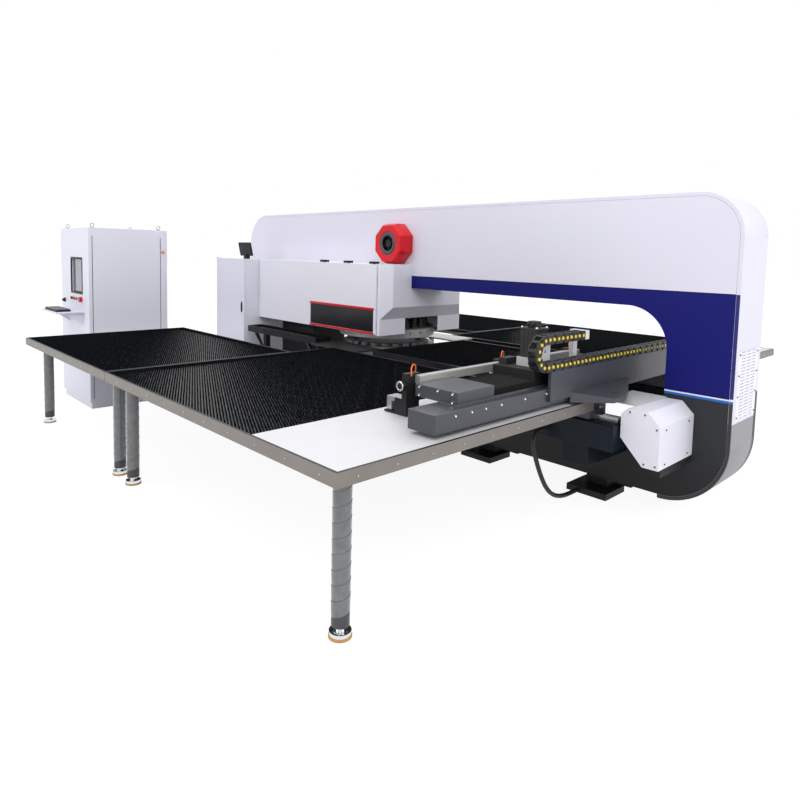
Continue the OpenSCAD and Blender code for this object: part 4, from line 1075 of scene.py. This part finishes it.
class PRESS_OT_carriage_trim(bpy.types.Operator):
    """Adds the motor's flange bolts and plugs and the clamps' bright rings"""
    bl_idname = "press.carriage_trim"
    bl_label = "Carriage trim"

    def execute(self, context):
        low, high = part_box("carriage_motor")
        centre = (low + high) / 2
        bolts = bmesh.new()
        flange = high.z - FLANGE_DROP
        for x in (centre.x - BOLT_OUT, centre.x + BOLT_OUT):
            for y in (centre.y - BOLT_OUT, centre.y + BOLT_OUT):
                put_screw(bolts, (x, y, flange), (0, 0, 1), BOLT_WIDTH)
        put_piece("motor_bolts", bolts, "chrome", "carriage")
        plugs = bmesh.new()
        for y in (centre.y - PLUG_OUT, centre.y + PLUG_OUT):
            start = Vector((centre.x - PLUG_FRONT, y, high.z - PLUG_DROP))
            put_rod(plugs, start, start - Vector((PLUG_LENGTH, 0, 0)), PLUG_RADIUS, PLUG_TIP)
        put_piece("motor_plugs", plugs, "black", "carriage")
        rings = bmesh.new()
        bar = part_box("clamp_bar")[1]
        for low, high in solids("clamp_bodies"):
            put_ring(rings, Vector((low.x, bar.y + EYE_OUT, bar.z - EYE_DROP)), EYE_RADIUS, EYE_WIRE)
        put_piece("clamp_rings", rings, "chrome", "carriage")
        return {"FINISHED"}


# The motor's flange bolts: depth under its top, distance from its middle, and width
FLANGE_DROP = 0.042
BOLT_OUT = 0.056
BOLT_WIDTH = 0.018
# The motor's plugs: place from the middle of its top, and size
PLUG_OUT = 0.016
PLUG_FRONT = 0.030
PLUG_DROP = 0.020
PLUG_LENGTH = 0.034
PLUG_RADIUS = 0.013
PLUG_TIP = 0.011
# The clamps' rings: place from the bar's top far edge, and size
EYE_OUT = 0.020
EYE_DROP = 0.060
EYE_RADIUS = 0.024
EYE_WIRE = 0.006


def put_ring(bm, centre, radius, thickness):
    """A round ring about X."""
    verts = bmesh.ops.create_circle(bm, segments=10, radius=thickness)["verts"]
    bmesh.ops.translate(bm, vec=centre + Vector((0, radius, 0)), verts=verts)
    edges = list({e for v in verts for e in v.link_edges})
    bmesh.ops.spin(
        bm, geom=[*verts, *edges], cent=centre, axis=(1, 0, 0), angle=math.tau, steps=28, use_merge=True)


class PRESS_OT_stage(bpy.types.Operator):
    """Sets the floor, the soft lights, the pale surround and the camera"""
    bl_idname = "press.stage"
    bl_label = "Set the stage"

    def execute(self, context):
        scene = context.scene
        scene.view_settings.view_transform = "Standard"
        set_world(scene)
        set_floor(scene)
        for lamp in LAMPS:
            set_lamp(scene, *lamp)
        set_camera(scene)
        return {"FINISHED"}


# Each soft lamp's name, place, aim, width in metres and power in watts
LAMPS = (
    ("key", (-6.0, -7.0, 7.5), (0, 0, 0.9), 6.0, 320),
    ("fill", (3.5, -9.0, 5.0), (0.5, 0, 0.8), 6.0, 190),
    ("side", (-9.0, 2.0, 5.0), (-0.5, 0.8, 1.2), 5.0, 140),
    ("top", (-1.0, 1.5, 8.5), (0, 0.5, 0.9), 8.0, 230),
    ("back", (6.0, 7.0, 6.0), (0, 0.5, 0.9), 6.0, 140),
)
# Light of the surround, and the floor's own glow with its share of what is seen
SURROUND = 0.85
FLOOR_GLOW = 1.15
GLOW_SHARE = 0.80
# Half the floor's width, and its depth under the feet
FLOOR_HALF = 60
FLOOR_DROP = 0.002


def seen_by_camera(tree):
    """A value that is 1 for what the camera, mirrors and glass see."""
    nodes, links = tree.nodes, tree.links
    path = nodes.new("ShaderNodeLightPath")
    seen = nodes.new("ShaderNodeMath")
    seen.operation = "MAXIMUM"
    links.new(path.outputs["Is Camera Ray"], seen.inputs[0])
    links.new(path.outputs["Is Glossy Ray"], seen.inputs[1])
    through = nodes.new("ShaderNodeMath")
    through.operation = "MAXIMUM"
    links.new(seen.outputs[0], through.inputs[0])
    links.new(path.outputs["Is Transmission Ray"], through.inputs[1])
    return through.outputs[0]


def set_world(scene):
    """A surround that lights the press softly and is plain white where it is seen."""
    world = bpy.data.worlds.new("pale_surround")
    scene.world = world
    world.use_nodes = True
    nodes, links = world.node_tree.nodes, world.node_tree.links
    light = nodes["Background"]
    light.inputs["Color"].default_value = (0.96, 0.97, 1.0, 1)
    light.inputs["Strength"].default_value = SURROUND
    white = nodes.new("ShaderNodeBackground")
    white.inputs["Color"].default_value = (1, 1, 1, 1)
    white.inputs["Strength"].default_value = 1.0
    mix = nodes.new("ShaderNodeMixShader")
    links.new(seen_by_camera(world.node_tree), mix.inputs["Fac"])
    links.new(light.outputs[0], mix.inputs[1])
    links.new(white.outputs[0], mix.inputs[2])
    links.new(mix.outputs[0], nodes["World Output"].inputs["Surface"])


def set_floor(scene):
    """A plain pale floor that takes soft shadows."""
    mat = bpy.data.materials.new("pale_floor")
    mat.use_nodes = True
    nodes, links = mat.node_tree.nodes, mat.node_tree.links
    shader = nodes["Principled BSDF"]
    shader.inputs["Base Color"].default_value = (0.86, 0.86, 0.87, 1)
    shader.inputs["Roughness"].default_value = 0.9
    glow = nodes.new("ShaderNodeEmission")
    glow.inputs["Strength"].default_value = FLOOR_GLOW
    share = nodes.new("ShaderNodeMath")
    share.operation = "MULTIPLY"
    share.inputs[1].default_value = GLOW_SHARE
    links.new(seen_by_camera(mat.node_tree), share.inputs[0])
    mix = nodes.new("ShaderNodeMixShader")
    links.new(share.outputs[0], mix.inputs["Fac"])
    links.new(shader.outputs[0], mix.inputs[1])
    links.new(glow.outputs[0], mix.inputs[2])
    links.new(mix.outputs[0], nodes["Material Output"].inputs["Surface"])
    bm = bmesh.new()
    bmesh.ops.create_grid(bm, x_segments=1, y_segments=1, size=FLOOR_HALF)
    bmesh.ops.translate(bm, vec=(0, 0, -FLOOR_DROP), verts=bm.verts)
    mesh = bpy.data.meshes.new("floor")
    bm.to_mesh(mesh)
    bm.free()
    mesh.materials.append(mat)
    floor = bpy.data.objects.new("floor", mesh)
    scene.collection.objects.link(floor)


def set_lamp(scene, name, place, aim, width, power):
    """A square area lamp that looks at a place."""
    lamp = bpy.data.lights.new(name, "AREA")
    lamp.size = width
    lamp.energy = power
    obj = bpy.data.objects.new(name, lamp)
    obj.location = place
    obj.rotation_euler = (Vector(aim) - Vector(place)).to_track_quat("-Z", "Y").to_euler()
    scene.collection.objects.link(obj)


# The photograph's camera: place, axes, focal length and optical centre in an image 800 pixels wide
CAMERA_AT = (-4.7526, -4.9469, 1.8540)
CAMERA_RIGHT = (0.72366, -0.68975, 0.02381)
CAMERA_UP = (0.03854, 0.07484, 0.99645)
CAMERA_BACK = (-0.68908, -0.72017, 0.08075)
IMAGE_PX = 800
FOCAL_PX = 619.26
CENTRE_PX = (397.84, 305.18)


def set_camera(scene):
    """A camera at the photograph's place and angle."""
    lens = bpy.data.cameras.new("camera")
    lens.sensor_fit = "HORIZONTAL"
    lens.sensor_width = 36
    lens.lens = FOCAL_PX / IMAGE_PX * lens.sensor_width
    lens.shift_x = (IMAGE_PX / 2 - CENTRE_PX[0]) / IMAGE_PX
    lens.shift_y = (CENTRE_PX[1] - IMAGE_PX / 2) / IMAGE_PX
    lens.clip_end = 200
    camera = bpy.data.objects.new("camera", lens)
    turn = Matrix((CAMERA_RIGHT, CAMERA_UP, CAMERA_BACK)).transposed().to_4x4()
    camera.matrix_world = Matrix.Translation(CAMERA_AT) @ turn
    scene.collection.objects.link(camera)
    scene.camera = camera


class PRESS_PT_panel(bpy.types.Panel):
    """Lists the sizes, the colours and the steps"""
    bl_label = "Press"
    bl_idname = "PRESS_PT_panel"
    bl_space_type = "VIEW_3D"
    bl_region_type = "UI"
    bl_category = "Press"

    def draw(self, context):
        layout = self.layout
        for group in (context.scene.press_sizes, context.scene.press_colours):
            for name in group.__annotations__:
                layout.prop(group, name)
        for step in STEPS:
            layout.operator(step.bl_idname)


STEPS = (
    PRESS_OT_paint, PRESS_OT_brushes, PRESS_OT_cords, PRESS_OT_way_covers, PRESS_OT_chain, PRESS_OT_screw,
    PRESS_OT_legs, PRESS_OT_fasteners, PRESS_OT_guard_trim, PRESS_OT_control_trim, PRESS_OT_carriage_trim,
    PRESS_OT_stage)
CLASSES = (PressSizes, PressColours, *STEPS, PRESS_PT_panel)


def register():
    """Adds the classes and the scene's properties."""
    for cls in CLASSES:
        bpy.utils.register_class(cls)
    bpy.types.Scene.press_sizes = PointerProperty(type=PressSizes)
    bpy.types.Scene.press_colours = PointerProperty(type=PressColours)


def unregister():
    """Takes away the scene's properties and the classes."""
    del bpy.types.Scene.press_colours
    del bpy.types.Scene.press_sizes
    for cls in reversed(CLASSES):
        bpy.utils.unregister_class(cls)


def main():
    """Runs every step in order."""
    register()
    bpy.ops.press.paint()
    bpy.ops.press.brushes()
    bpy.ops.press.cords()
    bpy.ops.press.way_covers()
    bpy.ops.press.chain()
    bpy.ops.press.screw()
    bpy.ops.press.legs()
    bpy.ops.press.fasteners()
    bpy.ops.press.guard_trim()
    bpy.ops.press.control_trim()
    bpy.ops.press.carriage_trim()
    bpy.ops.press.stage()


if __name__ == "__main__":
    main()
